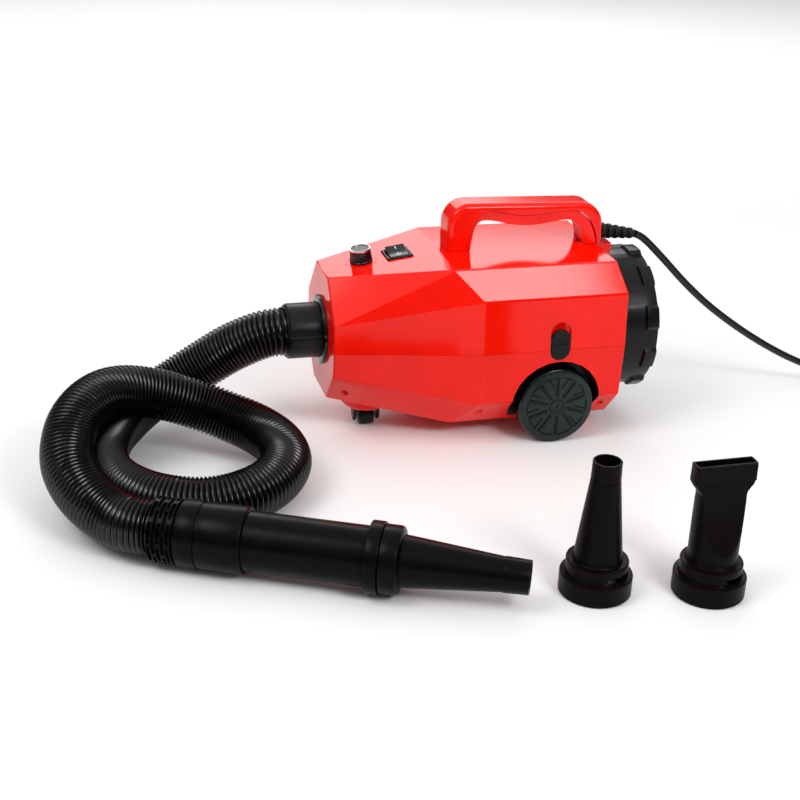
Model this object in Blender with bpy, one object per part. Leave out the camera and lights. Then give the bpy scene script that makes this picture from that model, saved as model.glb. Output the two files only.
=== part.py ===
"""Pet dryer: a wheeled blower with a corrugated hose, a wand and two spare nozzles.

Metres, +Z up, floor at Z = 0. The machine's nose points along -X, its rear wheels and
intake along +X, and -Y is its near side. Inside a group, X counts from the nose plane,
Y from the machine's middle plane and Z from the floor.
"""

import math

import bmesh
import bpy
from mathutils import Vector

# Sides of turned pieces, by size.
LARGE_STEPS = 24
ROUND_STEPS = 20
SMALL_STEPS = 12
TINY_STEPS = 8

# Where the machine's own zero point (nose plane, middle, floor) lies in the part's frame.
MACHINE_AT = Vector((-0.0690565, 0.1709, 0.0))

GAP = 0.0003
WALL = 0.003

# Housing outline: half width and height at the nose, at the break and at the rear.
NOSE_X = 0.0
ROOF_BREAK_X = 0.1245
SIDE_BREAK_X = 0.1525
BOTTOM_BREAK_X = 0.130
ROOF_REAR_X = 0.3025
SIDE_REAR_X = 0.3115
NOSE_HALF_WIDTHS = (0.0275, 0.0625, 0.0645, 0.0625, 0.0300)
NOSE_HEIGHTS = (0.1805, 0.1390, 0.1100, 0.0820, 0.0460)
BODY_HALF_WIDTHS = (0.0720, 0.0905, 0.0950, 0.0910, 0.0600)
BODY_HEIGHTS = (0.1975, 0.1670, 0.1100, 0.0520, 0.0185)
BELT_Z = 0.1100
EDGE_BEVEL = 0.0014

# Slope of the roof in front of the break, where the controls are.
ROOF_SLOPE = math.atan2(BODY_HEIGHTS[0] - NOSE_HEIGHTS[0], ROOF_BREAK_X)

# Wheels.
WHEEL_RADIUS = 0.0425
WHEEL_WIDTH = 0.0230
WHEEL_X = 0.2410
WHEEL_FACE_Y = 0.0915
TYRE_INNER_RADIUS = 0.0365
AXLE_RADIUS = 0.0040
ARCH_X = 0.2390
ARCH_Z = 0.0465
ARCH_RADIUS = 0.0500
ARCH_DEPTH_Y = 0.0650
AXLE_HALF_LENGTH = 0.0880

# Front caster.
CASTER_X = 0.0512
CASTER_BOSS_RADIUS = 0.0270
CASTER_BOSS_Z = 0.0230
CASTER_WHEEL_RADIUS = 0.0095
CASTER_WHEEL_WIDTH = 0.0160
CASTER_TRAIL = 0.0040
CASTER_PLATE_RADIUS = 0.0150
CASTER_PLATE_Z = 0.0198
CASTER_STEM_TOP_Z = 0.0375

# Air path.
OUTLET_Z = 0.1130
OUTLET_HOLE_RADIUS = 0.0333
OUTLET_FLANGE_RADIUS = 0.0370
CUFF_RADIUS = 0.0295
CUFF_BORE = 0.0255
CUFF_REACH = 0.0400
HOSE_DIAMETER = 0.0520
INTAKE_Z = 0.1070
INTAKE_HOLE_RADIUS = 0.0660
COVER_RADIUS = 0.0765
COVER_NECK_RADIUS = 0.0648
COVER_NECK_X = 0.3065
COVER_FRONT_X = 0.3125
COVER_REAR_X = 0.3580
COVER_LOBES = 10
COVER_LOBE_HEIGHT = 0.0035
COVER_STEPS = 40
COVER_OPENING_RADIUS = 0.0580
COVER_INNER_RADIUS = 0.0620
GRILLE_RADIUS = 0.0730
GRILLE_SLOT_PITCH = 0.0120
GRILLE_SLOT_HALF_WIDTH = 0.0017
FILTER_RADIUS = 0.0725
FILTER_FRONT_X = 0.3300

# Blower motor, on an axis along X.
MOTOR_Z = 0.1130
FAN_CASE_RADIUS = 0.0580
FAN_CASE_X = (0.2320, 0.2860)
MOTOR_RADIUS = 0.0400
MOTOR_X = (0.1640, 0.2290)
SHAFT_RADIUS = 0.0040
SHAFT_X = (0.1585, 0.2820)
IMPELLER_RADIUS = 0.0520
IMPELLER_HEIGHT = 0.0120
IMPELLER_VANES = 6
IMPELLER_FIRST_X = 0.2660
IMPELLER_SECOND_X = 0.2420
BEARING_LENGTH = 0.0070
BRUSH_X = (0.1748, 0.1775)

# Controls.
KNOB_X = 0.0428
KNOB_RADIUS = 0.0110
KNOB_HEIGHT = 0.0158
SWITCH_AT = (0.0825, 0.0030)
SWITCH_SIZE = (0.0285, 0.0300)
ROCKER_SIZE = (0.0205, 0.0245)
ROCKER_TOP = 0.0052
ROCKER_TILT = math.radians(12)
BOARD_Z = 0.1580

# Handle.
FOOT_Z = 0.1978
HANDLE_HALF_WIDTH = 0.0170
GRIP_HALF_WIDTH = 0.0150

# Strain relief, in a bore in the handle's rear foot and leaning down a little.
RELIEF_AT = Vector((0.3096, 0.0, 0.2083))
RELIEF_TURN = (0, math.radians(98), 0)
RELIEF_BORE = 0.0060
RELIEF_NECK = 0.0055
RELIEF_LENGTH = 0.0435
RELIEF_RIBS = 5
RELIEF_RIB_PITCH = RELIEF_LENGTH / RELIEF_RIBS
RELIEF_RIB_RADIUS = 0.0088
RELIEF_RIB_TAPER = 0.0007

# Side latches.
LATCH_X = 0.2375
LATCH_Z = (0.0985, 0.1325)
LATCH_TRAVEL = 0.0080
LATCH_WIDTH = 0.0220
LATCH_POCKET_Y = 0.0905
LATCH_FACE_Y = 0.0952
LATCH_RIDGE_Z = (0.1147, 0.1177)

# Housing screws: place of each on the near side.
SCREW_XY = ((0.0165, 0.0475), (0.1570, 0.0775), (0.2965, 0.0757))
SCREW_SEAT_Z = (0.0700, 0.0500, 0.0500)
SCREW_HOLE_RADIUS = 0.0043
SCREW_BOSS_RADIUS = 0.0060

# Wand, along a level axis on the floor. WAND_START is where the hose ends.
WAND_AXIS_Z = 0.0330
WAND_START = Vector((-0.1840, -0.2640, WAND_AXIS_Z))
WAND_HEADING = math.radians(-26.1)
WAND_BORE = 0.0240
WAND_RADIUS = 0.0275
WAND_TUBE_X = (0.0503, 0.1690)
SLEEVE_RADIUS = 0.0300
SLEEVE_START_X = -0.0260
SLEEVE_RIB_PITCH = 0.0086
WAND_COLLAR_RADIUS = 0.0310
LOCK_RING_RADIUS = 0.0330
LOCK_RING_X = (0.1715, 0.1838)
WAND_NOZZLE_RADIUS = 0.0312
WAND_NOZZLE_TIP_X = 0.3150

# Spare nozzles, standing on the floor.
CONE_NOZZLE_AT = Vector((0.1695, -0.3822, 0.0))
FLAT_NOZZLE_AT = Vector((0.2703, -0.4050, 0.0))
NOZZLE_FLANGE_RADIUS = 0.0330
NOZZLE_COLLAR_RADIUS = 0.0283
NOZZLE_HEIGHT = 0.1300
BAYONET_SLOT_X = (-0.0010, 0.0255)
BAYONET_SLOT_Z = (0.0204, 0.0262)

# Length of the first and last step of a tube's route.
END_STEP = 0.0050

# Mains cord.
CORD_DIAMETER = 0.0080
COIL_AT = Vector((0.7420, 0.0605, 0.0))
COIL_INNER_RADIUS = 0.0320
COIL_OUTER_RADIUS = 0.0560
COIL_HEIGHT = 0.0240
PLUG_AT = Vector((0.7150, -0.0817, 0.0102))

# The hose's middle line, from the machine's cuff to the wand, in the machine's frame.
HOSE_ROUTE = (
    (-0.0420, 0.000, 0.113),
    (-0.048, 0.000, 0.1125),
    (-0.061, 0.002, 0.110),
    (-0.078, 0.006, 0.103),
    (-0.099, 0.012, 0.091),
    (-0.118, 0.016, 0.078),
    (-0.137, 0.018, 0.066),
    (-0.156, 0.017, 0.055),
    (-0.175, 0.012, 0.046),
    (-0.194, 0.001, 0.038),
    (-0.213, -0.018, 0.031),
    (-0.230, -0.046, 0.027),
    (-0.240, -0.082, 0.0263),
    (-0.239, -0.119, 0.0263),
    (-0.227, -0.153, 0.0263),
    (-0.206, -0.180, 0.0263),
    (-0.182, -0.196, 0.0265),
    (-0.158, -0.203, 0.0265),
    (-0.134, -0.203, 0.027),
    (-0.111, -0.196, 0.028),
    (-0.090, -0.182, 0.029),
    (-0.074, -0.163, 0.031),
    (-0.065, -0.140, 0.032),
    (-0.065, -0.116, 0.034),
    (-0.072, -0.094, 0.036),
    (-0.087, -0.074, 0.040),
    (-0.108, -0.059, 0.046),
    (-0.134, -0.049, 0.055),
    (-0.162, -0.046, 0.066),
    (-0.191, -0.048, 0.076),
    (-0.216, -0.056, 0.083),
    (-0.237, -0.069, 0.085),
    (-0.255, -0.088, 0.082),
    (-0.268, -0.109, 0.075),
    (-0.275, -0.132, 0.066),
    (-0.277, -0.156, 0.057),
    (-0.272, -0.179, 0.048),
    (-0.261, -0.202, 0.040),
    (-0.245, -0.223, 0.034),
    (-0.2285, -0.240, 0.033),
    (-0.2087, -0.2518, 0.033),
)

# The mains cord's middle line, from the strain relief to the coil, in the machine's frame.
CORD_ROUTE = (
    (0.3560, 0.000, 0.2013),
    (0.3645, 0.000, 0.1960),
    (0.3720, 0.000, 0.1890),
    (0.3940, 0.000, 0.1680),
    (0.4210, 0.000, 0.1410),
    (0.4490, 0.000, 0.1160),
    (0.4770, 0.000, 0.0945),
    (0.5060, 0.000, 0.0745),
    (0.5350, 0.000, 0.0565),
    (0.5630, 0.000, 0.0410),
    (0.5870, 0.000, 0.0295),
    (0.6130, 0.000, 0.0185),
    (0.6400, 0.000, 0.0100),
    (0.6670, 0.000, 0.0055),
    (0.6950, 0.000, 0.0042),
    (0.7420, 0.000, 0.0042),
)

# The short tail from the coil's top turn to the plug.
TAIL_ROUTE = (
    (0.7645, 0.0023, 0.0190),
    (0.7765, -0.0078, 0.0182),
    (0.7843, -0.0213, 0.0168),
    (0.7870, -0.0367, 0.0152),
    (0.7843, -0.0521, 0.0135),
    (0.7765, -0.0656, 0.0120),
    (0.7645, -0.0757, 0.0110),
    (0.7536, -0.0802, 0.0104),
    (0.7396, -0.0817, 0.0102),
)


def clear_scene():
    for obj in list(bpy.data.objects):
        bpy.data.objects.remove(obj)


def material(name, colour, roughness, metallic=0.0):
    made = bpy.data.materials.new(name)
    made.use_nodes = True
    shader = made.node_tree.nodes["Principled BSDF"]
    shader.inputs["Base Color"].default_value = (*colour, 1.0)
    shader.inputs["Roughness"].default_value = roughness
    shader.inputs["Metallic"].default_value = metallic
    made.diffuse_color = (*colour, 1.0)
    return made


def empty(name, parent=None, location=(0, 0, 0), rotation=(0, 0, 0)):
    obj = bpy.data.objects.new(name, None)
    bpy.context.collection.objects.link(obj)
    obj.parent = parent
    obj.location = location
    obj.rotation_euler = rotation
    return obj


def add_object(name, bm, finish, parent, location=(0, 0, 0), rotation=(0, 0, 0), smooth=35):
    """Turns a bmesh into an object with outward faces and smooth shading below an angle."""
    bmesh.ops.recalc_face_normals(bm, faces=bm.faces)
    mesh = bpy.data.meshes.new(name)
    bm.to_mesh(mesh)
    bm.free()
    if finish:
        mesh.materials.append(finish)
    mesh.shade_smooth()
    mesh.set_sharp_from_angle(angle=math.radians(smooth))
    obj = bpy.data.objects.new(name, mesh)
    bpy.context.collection.objects.link(obj)
    obj.parent = parent
    obj.location = location
    obj.rotation_euler = rotation
    return obj


def lofted(rings, closed):
    """Skins a list of point rings. A closed loft joins its last ring to its first;
    an open one is capped at both ends. A ring of one point is a pole."""
    bm = bmesh.new()
    rows = [[bm.verts.new(point) for point in ring] for ring in rings]
    pairs = list(zip(rows, rows[1:]))
    if closed:
        pairs.append((rows[-1], rows[0]))
    for first, second in pairs:
        count = max(len(first), len(second))
        for i in range(count):
            j = (i + 1) % count
            corners = (
                first[i % len(first)],
                first[j % len(first)],
                second[j % len(second)],
                second[i % len(second)],
            )
            bm.faces.new(list(dict.fromkeys(corners)))
    if not closed:
        for row in (rows[0], rows[-1]):
            if len(row) > 2:
                bm.faces.new(row)
    return bm


def turned(profile, steps, wave=None):
    """A solid of revolution about Z. Each profile point is (radius, height) and may add a
    third value: how far the wave, a function of the angle, pushes that point outwards.
    A profile that starts and ends on the axis is open; any other is a closed loop."""
    rings = []
    for point in profile:
        radius, height = point[:2]
        swell = point[2] if len(point) > 2 else 0.0
        if radius == 0:
            rings.append([(0.0, 0.0, height)])
            continue
        ring = []
        for step in range(steps):
            angle = 2 * math.pi * step / steps
            reach = radius + (swell * wave(angle) if wave else 0.0)
            ring.append((reach * math.cos(angle), reach * math.sin(angle), height))
        rings.append(ring)
    on_axis = profile[0][0] == 0 and profile[-1][0] == 0
    return lofted(rings, closed=not on_axis)


def ring_profile(inner, outer, low, high, edge=0.0):
    """A rectangular ring section, with its outer corners cut back by edge."""
    if edge == 0.0:
        return ((inner, low), (outer, low), (outer, high), (inner, high))
    return (
        (inner, low),
        (outer - edge, low),
        (outer, low + edge),
        (outer, high - edge),
        (outer - edge, high),
        (inner, high),
    )


def rod_profile(radius, low, high, edge=0.0):
    """A plain round rod section from the axis out."""
    if edge == 0.0:
        return ((0, low), (radius, low), (radius, high), (0, high))
    return (
        (0, low),
        (radius - edge, low),
        (radius, low + edge),
        (radius, high - edge),
        (radius - edge, high),
        (0, high),
    )


def block(low, high):
    bm = bmesh.new()
    bmesh.ops.create_cube(bm, size=1.0)
    low = Vector(low)
    high = Vector(high)
    for vert in bm.verts:
        vert.co = Vector(
            ((low[i] + high[i]) / 2 + vert.co[i] * (high[i] - low[i])) for i in range(3)
        )
    return bm


def hull(points):
    """The convex solid around points, its coplanar triangles merged."""
    bm = bmesh.new()
    for point in points:
        bm.verts.new(point)
    found = bmesh.ops.convex_hull(bm, input=bm.verts)
    spare = [item for item in found["geom_interior"] if isinstance(item, bmesh.types.BMVert)]
    bmesh.ops.delete(bm, geom=spare, context="VERTS")
    bmesh.ops.recalc_face_normals(bm, faces=bm.faces)
    bmesh.ops.dissolve_limit(
        bm, angle_limit=math.radians(0.6), verts=bm.verts, edges=bm.edges
    )
    return bm


def extruded(outline, low_y, high_y):
    """Pushes an outline of (x, z) points along Y."""
    rings = [[(x, y, z) for x, z in outline] for y in (low_y, high_y)]
    return lofted(rings, closed=False)


def obround(centre_x, low_z, high_z, width, arc_steps=8):
    """An outline of (x, z) points: straight sides along Z and round ends."""
    radius = width / 2
    points = []
    for centre_z, start in ((high_z - radius, 0.0), (low_z + radius, math.pi)):
        for step in range(arc_steps + 1):
            angle = start + math.pi * step / arc_steps
            points.append(
                (centre_x + radius * math.cos(angle), centre_z + radius * math.sin(angle))
            )
    return points


def smooth_curve(points, spacing):
    """Points a given distance apart along a smooth curve through the given ones, with a
    short first and last step that keep the tube's ends square to it."""
    path = [Vector(point) for point in points]
    dense = [path[0]]
    for i in range(len(path) - 1):
        before = path[max(i - 1, 0)]
        start = path[i]
        end = path[i + 1]
        after = path[min(i + 2, len(path) - 1)]
        for step in range(1, 17):
            t = step / 16
            dense.append(
                0.5
                * (
                    2 * start
                    + (end - before) * t
                    + (2 * before - 5 * start + 4 * end - after) * t**2
                    + (3 * start - before - 3 * end + after) * t**3
                )
            )
    total = sum((b - a).length for a, b in zip(dense, dense[1:]))
    count = max(2, round(total / spacing))
    wanted = [total * i / count for i in range(1, count)]
    wanted = [END_STEP] + wanted + [total - END_STEP]
    evenly = [dense[0]]
    walked = 0.0
    for a, b in zip(dense, dense[1:]):
        length = (b - a).length
        while wanted and walked + length >= wanted[0]:
            evenly.append(a.lerp(b, (wanted.pop(0) - walked) / length))
        walked += length
    evenly.append(dense[-1])
    return evenly


def add_tube(name, points, radius, spacing, finish, parent, sides_of_quarter=2):
    """A round tube with closed ends along a smooth route."""
    curve = bpy.data.curves.new(name, "CURVE")
    curve.dimensions = "3D"
    curve.bevel_depth = radius
    curve.bevel_resolution = sides_of_quarter
    curve.use_fill_caps = True
    route = smooth_curve(points, spacing)
    spline = curve.splines.new("POLY")
    spline.points.add(len(route) - 1)
    for target, point in zip(spline.points, route):
        target.co = (*point, 1.0)
    curve.materials.append(finish)
    obj = bpy.data.objects.new(name, curve)
    bpy.context.collection.objects.link(obj)
    obj.parent = parent
    return obj


def as_helper(obj):
    obj.hide_render = True
    obj.display_type = "WIRE"
    return obj


def combine(obj, other, operation):
    modifier = obj.modifiers.new(f"{operation.lower()}_{other.name}", "BOOLEAN")
    modifier.operation = operation
    modifier.solver = "EXACT"
    modifier.object = as_helper(other)


def cut(obj, other):
    combine(obj, other, "DIFFERENCE")


def join(obj, other):
    combine(obj, other, "UNION")


def bevel(obj, width, segments=2, angle=20):
    modifier = obj.modifiers.new("edges", "BEVEL")
    modifier.width = width
    modifier.segments = segments
    modifier.limit_method = "ANGLE"
    modifier.angle_limit = math.radians(angle)


# Rotations that lay a piece turned about Z along another axis.
ALONG_X = (0, math.pi / 2, 0)
ALONG_Y = (-math.pi / 2, 0, 0)
ALONG_MINUS_Y = (math.pi / 2, 0, 0)


def housing_points(inset):
    """Corners of the housing, moved inwards by inset."""
    shifts = (-inset, -inset / 2, 0.0, inset / 2, inset)
    break_x = (ROOF_BREAK_X, SIDE_BREAK_X, SIDE_BREAK_X, SIDE_BREAK_X, BOTTOM_BREAK_X)
    rear_x = (ROOF_REAR_X, SIDE_REAR_X, SIDE_REAR_X, SIDE_REAR_X, SIDE_REAR_X)
    points = []
    for i in range(5):
        stations = (
            (NOSE_X + inset, NOSE_HALF_WIDTHS[i], NOSE_HEIGHTS[i]),
            (break_x[i], BODY_HALF_WIDTHS[i], BODY_HEIGHTS[i]),
            (rear_x[i] - inset, BODY_HALF_WIDTHS[i], BODY_HEIGHTS[i]),
        )
        for x, half_width, z in stations:
            for side in (-1, 1):
                points.append((x, side * (half_width - inset), z + shifts[i]))
    return points


def roof_frame(machine, name, x, y=0.0):
    """An empty on the sloping roof at (x, y), its Z axis square to the roof."""
    z = NOSE_HEIGHTS[0] + x * math.tan(ROOF_SLOPE)
    return empty(name, machine, (x, y, z), (0, -ROOF_SLOPE, 0))


def helper_cylinder(name, machine, radius, low, high, location, rotation=(0, 0, 0), steps=ROUND_STEPS):
    bm = turned(rod_profile(radius, low, high), steps)
    return add_object(name, bm, None, machine, location, rotation)


def make_cavity(machine):
    """The hollow inside both shells, with the inner ribs, bosses and wheel wells kept."""
    cavity = add_object("cavity", hull(housing_points(WALL)), None, machine)
    for side, label in ((-1, "near"), (1, "far")):
        well = helper_cylinder(
            f"well_{label}",
            machine,
            ARCH_RADIUS + WALL,
            0.0,
            0.040,
            (ARCH_X, side * (ARCH_DEPTH_Y - WALL), ARCH_Z),
            ALONG_Y if side > 0 else ALONG_MINUS_Y,
        )
        cut(cavity, well)
        low_y, high_y = sorted((side * (LATCH_POCKET_Y - WALL), side * 0.100))
        pad = block(
            (LATCH_X - 0.015, low_y, LATCH_Z[0] - 0.004),
            (LATCH_X + 0.015, high_y, LATCH_Z[1] + LATCH_TRAVEL + 0.005),
        )
        cut(cavity, add_object(f"latch_pad_{label}", pad, None, machine))
        for i, (x, y) in enumerate(SCREW_XY):
            column = helper_cylinder(
                f"screw_column_{label}_{i}",
                machine,
                SCREW_BOSS_RADIUS,
                0.0,
                0.230,
                (x, side * y, 0),
                steps=TINY_STEPS,
            )
            cut(cavity, column)
    rear_rib = add_object(
        "rear_rib", block((0.252, -0.120, 0.0), (0.258, 0.120, 0.240)), None, machine
    )
    rib_hole = helper_cylinder(
        "rear_rib_hole", machine, FAN_CASE_RADIUS + 0.0043, 0.240, 0.270,
        (0, 0, MOTOR_Z), ALONG_X,
    )
    cut(rear_rib, rib_hole)
    cut(cavity, rear_rib)
    front_rib = add_object(
        "front_rib", block((0.170, -0.014, 0.0), (0.176, 0.014, 0.240)), None, machine
    )
    front_hole = helper_cylinder(
        "front_rib_hole", machine, MOTOR_RADIUS + 0.0063, 0.160, 0.190,
        (0, 0, MOTOR_Z), ALONG_X,
    )
    cut(front_rib, front_hole)
    cut(cavity, front_rib)
    return as_helper(cavity)


def make_common_cutters(machine):
    """Openings that cross the belt line, so both shells are cut by them."""
    cutters = [
        helper_cylinder(
            "outlet_hole", machine, OUTLET_HOLE_RADIUS, -0.02, 0.02,
            (0, 0, OUTLET_Z), ALONG_X, LARGE_STEPS,
        ),
        helper_cylinder(
            "intake_hole", machine, INTAKE_HOLE_RADIUS, 0.290, 0.340,
            (0, 0, INTAKE_Z), ALONG_X, LARGE_STEPS,
        ),
    ]
    for side, label in ((-1, "near"), (1, "far")):
        outline = obround(
            LATCH_X, LATCH_Z[0] - GAP, LATCH_Z[1] + LATCH_TRAVEL + GAP, LATCH_WIDTH + 2 * GAP
        )
        low_y, high_y = sorted((side * LATCH_POCKET_Y, side * 0.110))
        pocket = add_object(f"latch_pocket_{label}", extruded(outline, low_y, high_y), None, machine)
        cutters.append(pocket)
    return cutters


def make_upper_shell(machine, red, cavity, common):
    shell = add_object("upper_shell", hull(housing_points(0.0)), red, machine)
    bevel(shell, EDGE_BEVEL)
    tongue = block((0.290, -0.012, 0.1850), (0.3205, 0.012, 0.1970))
    join(shell, add_object("cover_tongue", tongue, None, machine))
    cut(shell, cavity)
    below = block((-0.05, -0.15, -0.05), (0.40, 0.15, BELT_Z + GAP / 2))
    cut(shell, add_object("below_belt", below, None, machine))
    for cutter in common:
        cut(shell, cutter)
    knob = roof_frame(machine, "knob_hole_frame", KNOB_X)
    knob_hole = turned(rod_profile(0.0042, -0.02, 0.02), TINY_STEPS)
    cut(shell, add_object("knob_hole", knob_hole, None, knob))
    switch = roof_frame(machine, "switch_hole_frame", *SWITCH_AT)
    half_x = SWITCH_SIZE[0] / 2 - 0.0015
    half_y = SWITCH_SIZE[1] / 2 - 0.0015
    window = block((-half_x, -half_y, -0.02), (half_x, half_y, 0.02))
    cut(shell, add_object("switch_hole", window, None, switch))
    cord_way = helper_cylinder(
        "cord_way", machine, 0.0045, 0.185, 0.205, (0.288, 0, 0), steps=TINY_STEPS
    )
    cut(shell, cord_way)
    return shell


def make_lower_shell(machine, red, cavity, common):
    shell = add_object("lower_shell", hull(housing_points(0.0)), red, machine)
    bevel(shell, EDGE_BEVEL)
    boss = turned(
        (
            (0, CASTER_BOSS_Z),
            (CASTER_BOSS_RADIUS - 0.004, CASTER_BOSS_Z),
            (CASTER_BOSS_RADIUS, CASTER_BOSS_Z + 0.004),
            (CASTER_BOSS_RADIUS, 0.052),
            (0, 0.052),
        ),
        ROUND_STEPS,
    )
    join(shell, add_object("caster_boss", boss, None, machine, (CASTER_X, 0, 0)))
    boss_room = add_object(
        "caster_boss_room",
        turned(rod_profile(CASTER_BOSS_RADIUS - WALL, CASTER_BOSS_Z + 0.004, 0.060), ROUND_STEPS),
        None,
        machine,
        (CASTER_X, 0, 0),
    )
    core = helper_cylinder(
        "caster_stem_boss", machine, 0.0095, 0.0, 0.070, (CASTER_X, 0, 0), steps=SMALL_STEPS
    )
    cut(boss_room, core)
    cut(shell, boss_room)
    cut(shell, cavity)
    above = block((-0.05, -0.15, BELT_Z - GAP / 2), (0.40, 0.15, 0.30))
    cut(shell, add_object("above_belt", above, None, machine))
    for cutter in common:
        cut(shell, cutter)
    stem_hole = helper_cylinder(
        "caster_stem_hole", machine, 0.0043, 0.010, 0.0600, (CASTER_X, 0, 0), steps=TINY_STEPS
    )
    cut(shell, stem_hole)
    for side, label in ((-1, "near"), (1, "far")):
        arch = helper_cylinder(
            f"arch_{label}", machine, ARCH_RADIUS, 0.0, 0.060,
            (ARCH_X, side * ARCH_DEPTH_Y, ARCH_Z), ALONG_Y if side > 0 else ALONG_MINUS_Y, LARGE_STEPS,
        )
        cut(shell, arch)
        axle_hole = helper_cylinder(
            f"axle_hole_{label}", machine, AXLE_RADIUS + GAP, -0.010, 0.010,
            (WHEEL_X, side * ARCH_DEPTH_Y, WHEEL_RADIUS), ALONG_Y, steps=SMALL_STEPS,
        )
        cut(shell, axle_hole)
        for i, (x, y) in enumerate(SCREW_XY):
            seat = SCREW_SEAT_Z[i]
            counterbore = turned(
                (
                    (0, 0.0),
                    (SCREW_HOLE_RADIUS, 0.0),
                    (SCREW_HOLE_RADIUS, seat),
                    (0.0021, seat),
                    (0.0021, BELT_Z + 0.01),
                    (0, BELT_Z + 0.01),
                ),
                TINY_STEPS,
            )
            cut(
                shell,
                add_object(f"screw_hole_{label}_{i}", counterbore, None, machine, (x, side * y, 0)),
            )
    return shell


def make_screws(machine, steel):
    """Six housing screws, driven up from below, their heads deep in the counterbores."""
    names = ("front", "middle", "rear")
    for side, label in ((-1, "near"), (1, "far")):
        for i, (x, y) in enumerate(SCREW_XY):
            seat = SCREW_SEAT_Z[i] - GAP
            profile = (
                (0, seat - 0.0012),
                (0.0012, seat - 0.0024),
                (0.0034, seat - 0.0024),
                (0.0036, seat),
                (0.0017, seat),
                (0.0017, BELT_Z - 0.003),
                (0, BELT_Z - 0.001),
            )
            add_object(
                f"screw_{names[i]}_{label}", turned(profile, TINY_STEPS), steel, machine,
                (x, side * y, 0),
            )


def arc(centre, radius, start, end, steps):
    """Points of an arc in (x, z), angles in degrees."""
    points = []
    for step in range(steps + 1):
        angle = math.radians(start + (end - start) * step / steps)
        points.append(
            (centre[0] + radius * math.cos(angle), centre[1] + radius * math.sin(angle))
        )
    return points


def smooth_line(points, parts):
    """A smooth line through (x, z) points, with each stretch between them cut into parts."""
    spots = [Vector(point) for point in points]
    line = [spots[0]]
    for i in range(len(spots) - 1):
        before = spots[max(i - 1, 0)]
        start = spots[i]
        end = spots[i + 1]
        after = spots[min(i + 2, len(spots) - 1)]
        for part in range(1, parts + 1):
            t = part / parts
            line.append(
                0.5
                * (
                    2 * start
                    + (end - before) * t
                    + (2 * before - 5 * start + 4 * end - after) * t**2
                    + (3 * start - before - 3 * end + after) * t**3
                )
            )
    return [tuple(spot) for spot in line]


def handle_outer_line():
    """The handle's outside, from the front foot over the top to the rear foot."""
    front = [(0.1325, FOOT_Z), (0.1320, 0.2080)]
    front_bend = arc((0.1560, 0.2245), 0.0240, 180, 92, 7)
    rear_bend = arc((0.2795, 0.2172), 0.0280, 86, 0, 7)
    rear = [(0.3077, 0.2080), (0.3077, FOOT_Z)]
    return front + front_bend + rear_bend + rear


# Where the outer shell meets the grip insert, rear foot to front foot.
HANDLE_SEAM = (
    (0.3018, 0.1978),
    (0.3008, 0.2060),
    (0.2962, 0.2181),
    (0.2894, 0.2283),
    (0.2795, 0.2355),
    (0.2678, 0.2379),
    (0.2508, 0.2368),
    (0.2338, 0.2350),
    (0.2170, 0.2344),
    (0.1999, 0.2368),
    (0.1829, 0.2408),
    (0.1735, 0.2404),
    (0.1644, 0.2350),
    (0.1563, 0.2226),
    (0.1527, 0.2095),
    (0.1522, 0.1978),
)

# The edge of the finger opening, front foot to rear foot, with its wavy top.
HANDLE_OPENING = (
    (0.1579, 0.1978),
    (0.1590, 0.2090),
    (0.1617, 0.2218),
    (0.1665, 0.2284),
    (0.1725, 0.2301),
    (0.1837, 0.2288),
    (0.2008, 0.2249),
    (0.2179, 0.2228),
    (0.2349, 0.2232),
    (0.2517, 0.2256),
    (0.2650, 0.2268),
    (0.2745, 0.2245),
    (0.2810, 0.2190),
    (0.2848, 0.2110),
    (0.2868, 0.2030),
    (0.2872, 0.1978),
)


def make_handle(machine, red):
    seam = smooth_line(HANDLE_SEAM, 2)
    outline = handle_outer_line() + seam
    shell = add_object(
        "handle_shell", extruded(outline, -HANDLE_HALF_WIDTH, HANDLE_HALF_WIDTH), red, machine
    )
    round_outer_edges(shell, len(handle_outer_line()), 0.0055)
    bore = helper_cylinder(
        "relief_bore", machine, RELIEF_BORE, -RELIEF_NECK - GAP, 0.020,
        RELIEF_AT, RELIEF_TURN, SMALL_STEPS,
    )
    cut(shell, bore)
    inner = [shifted_in(point) for point in seam]
    grip_outline = inner[::-1] + smooth_line(HANDLE_OPENING, 2)[::-1]
    grip = add_object(
        "handle_grip", extruded(grip_outline, -GRIP_HALF_WIDTH, GRIP_HALF_WIDTH), red, machine
    )
    bevel(grip, 0.0015, 1, 50)


def shifted_in(point):
    """Moves a seam point towards the finger opening by the gap between the two pieces."""
    centre = (0.2230, 0.1900)
    x, z = point
    if z < 0.1990:
        return (x - math.copysign(GAP * 1.5, x - centre[0]), z)
    offset = Vector((x - centre[0], z - centre[1]))
    moved = offset * (1 - 1.8 * GAP / offset.length)
    return (centre[0] + moved.x - math.copysign(GAP, offset.x), centre[1] + moved.y - GAP)


def round_outer_edges(obj, outer_count, width):
    """Bevels only the long edges of an extrusion's outer line, apart from its feet."""
    bm = bmesh.new()
    bm.from_mesh(obj.data)
    layer = bm.edges.layers.float.new("bevel_weight_edge")
    bm.verts.ensure_lookup_table()
    total = len(bm.verts) // 2
    for edge in bm.edges:
        a, b = sorted(vert.index for vert in edge.verts)
        same_side = (a < total) == (b < total)
        along = same_side and a % total < outer_count and b % total < outer_count
        edge[layer] = 1.0 if along and abs(a - b) == 1 else 0.0
    bm.to_mesh(obj.data)
    bm.free()
    modifier = obj.modifiers.new("round_edges", "BEVEL")
    modifier.width = width
    modifier.segments = 3
    modifier.limit_method = "WEIGHT"


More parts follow.
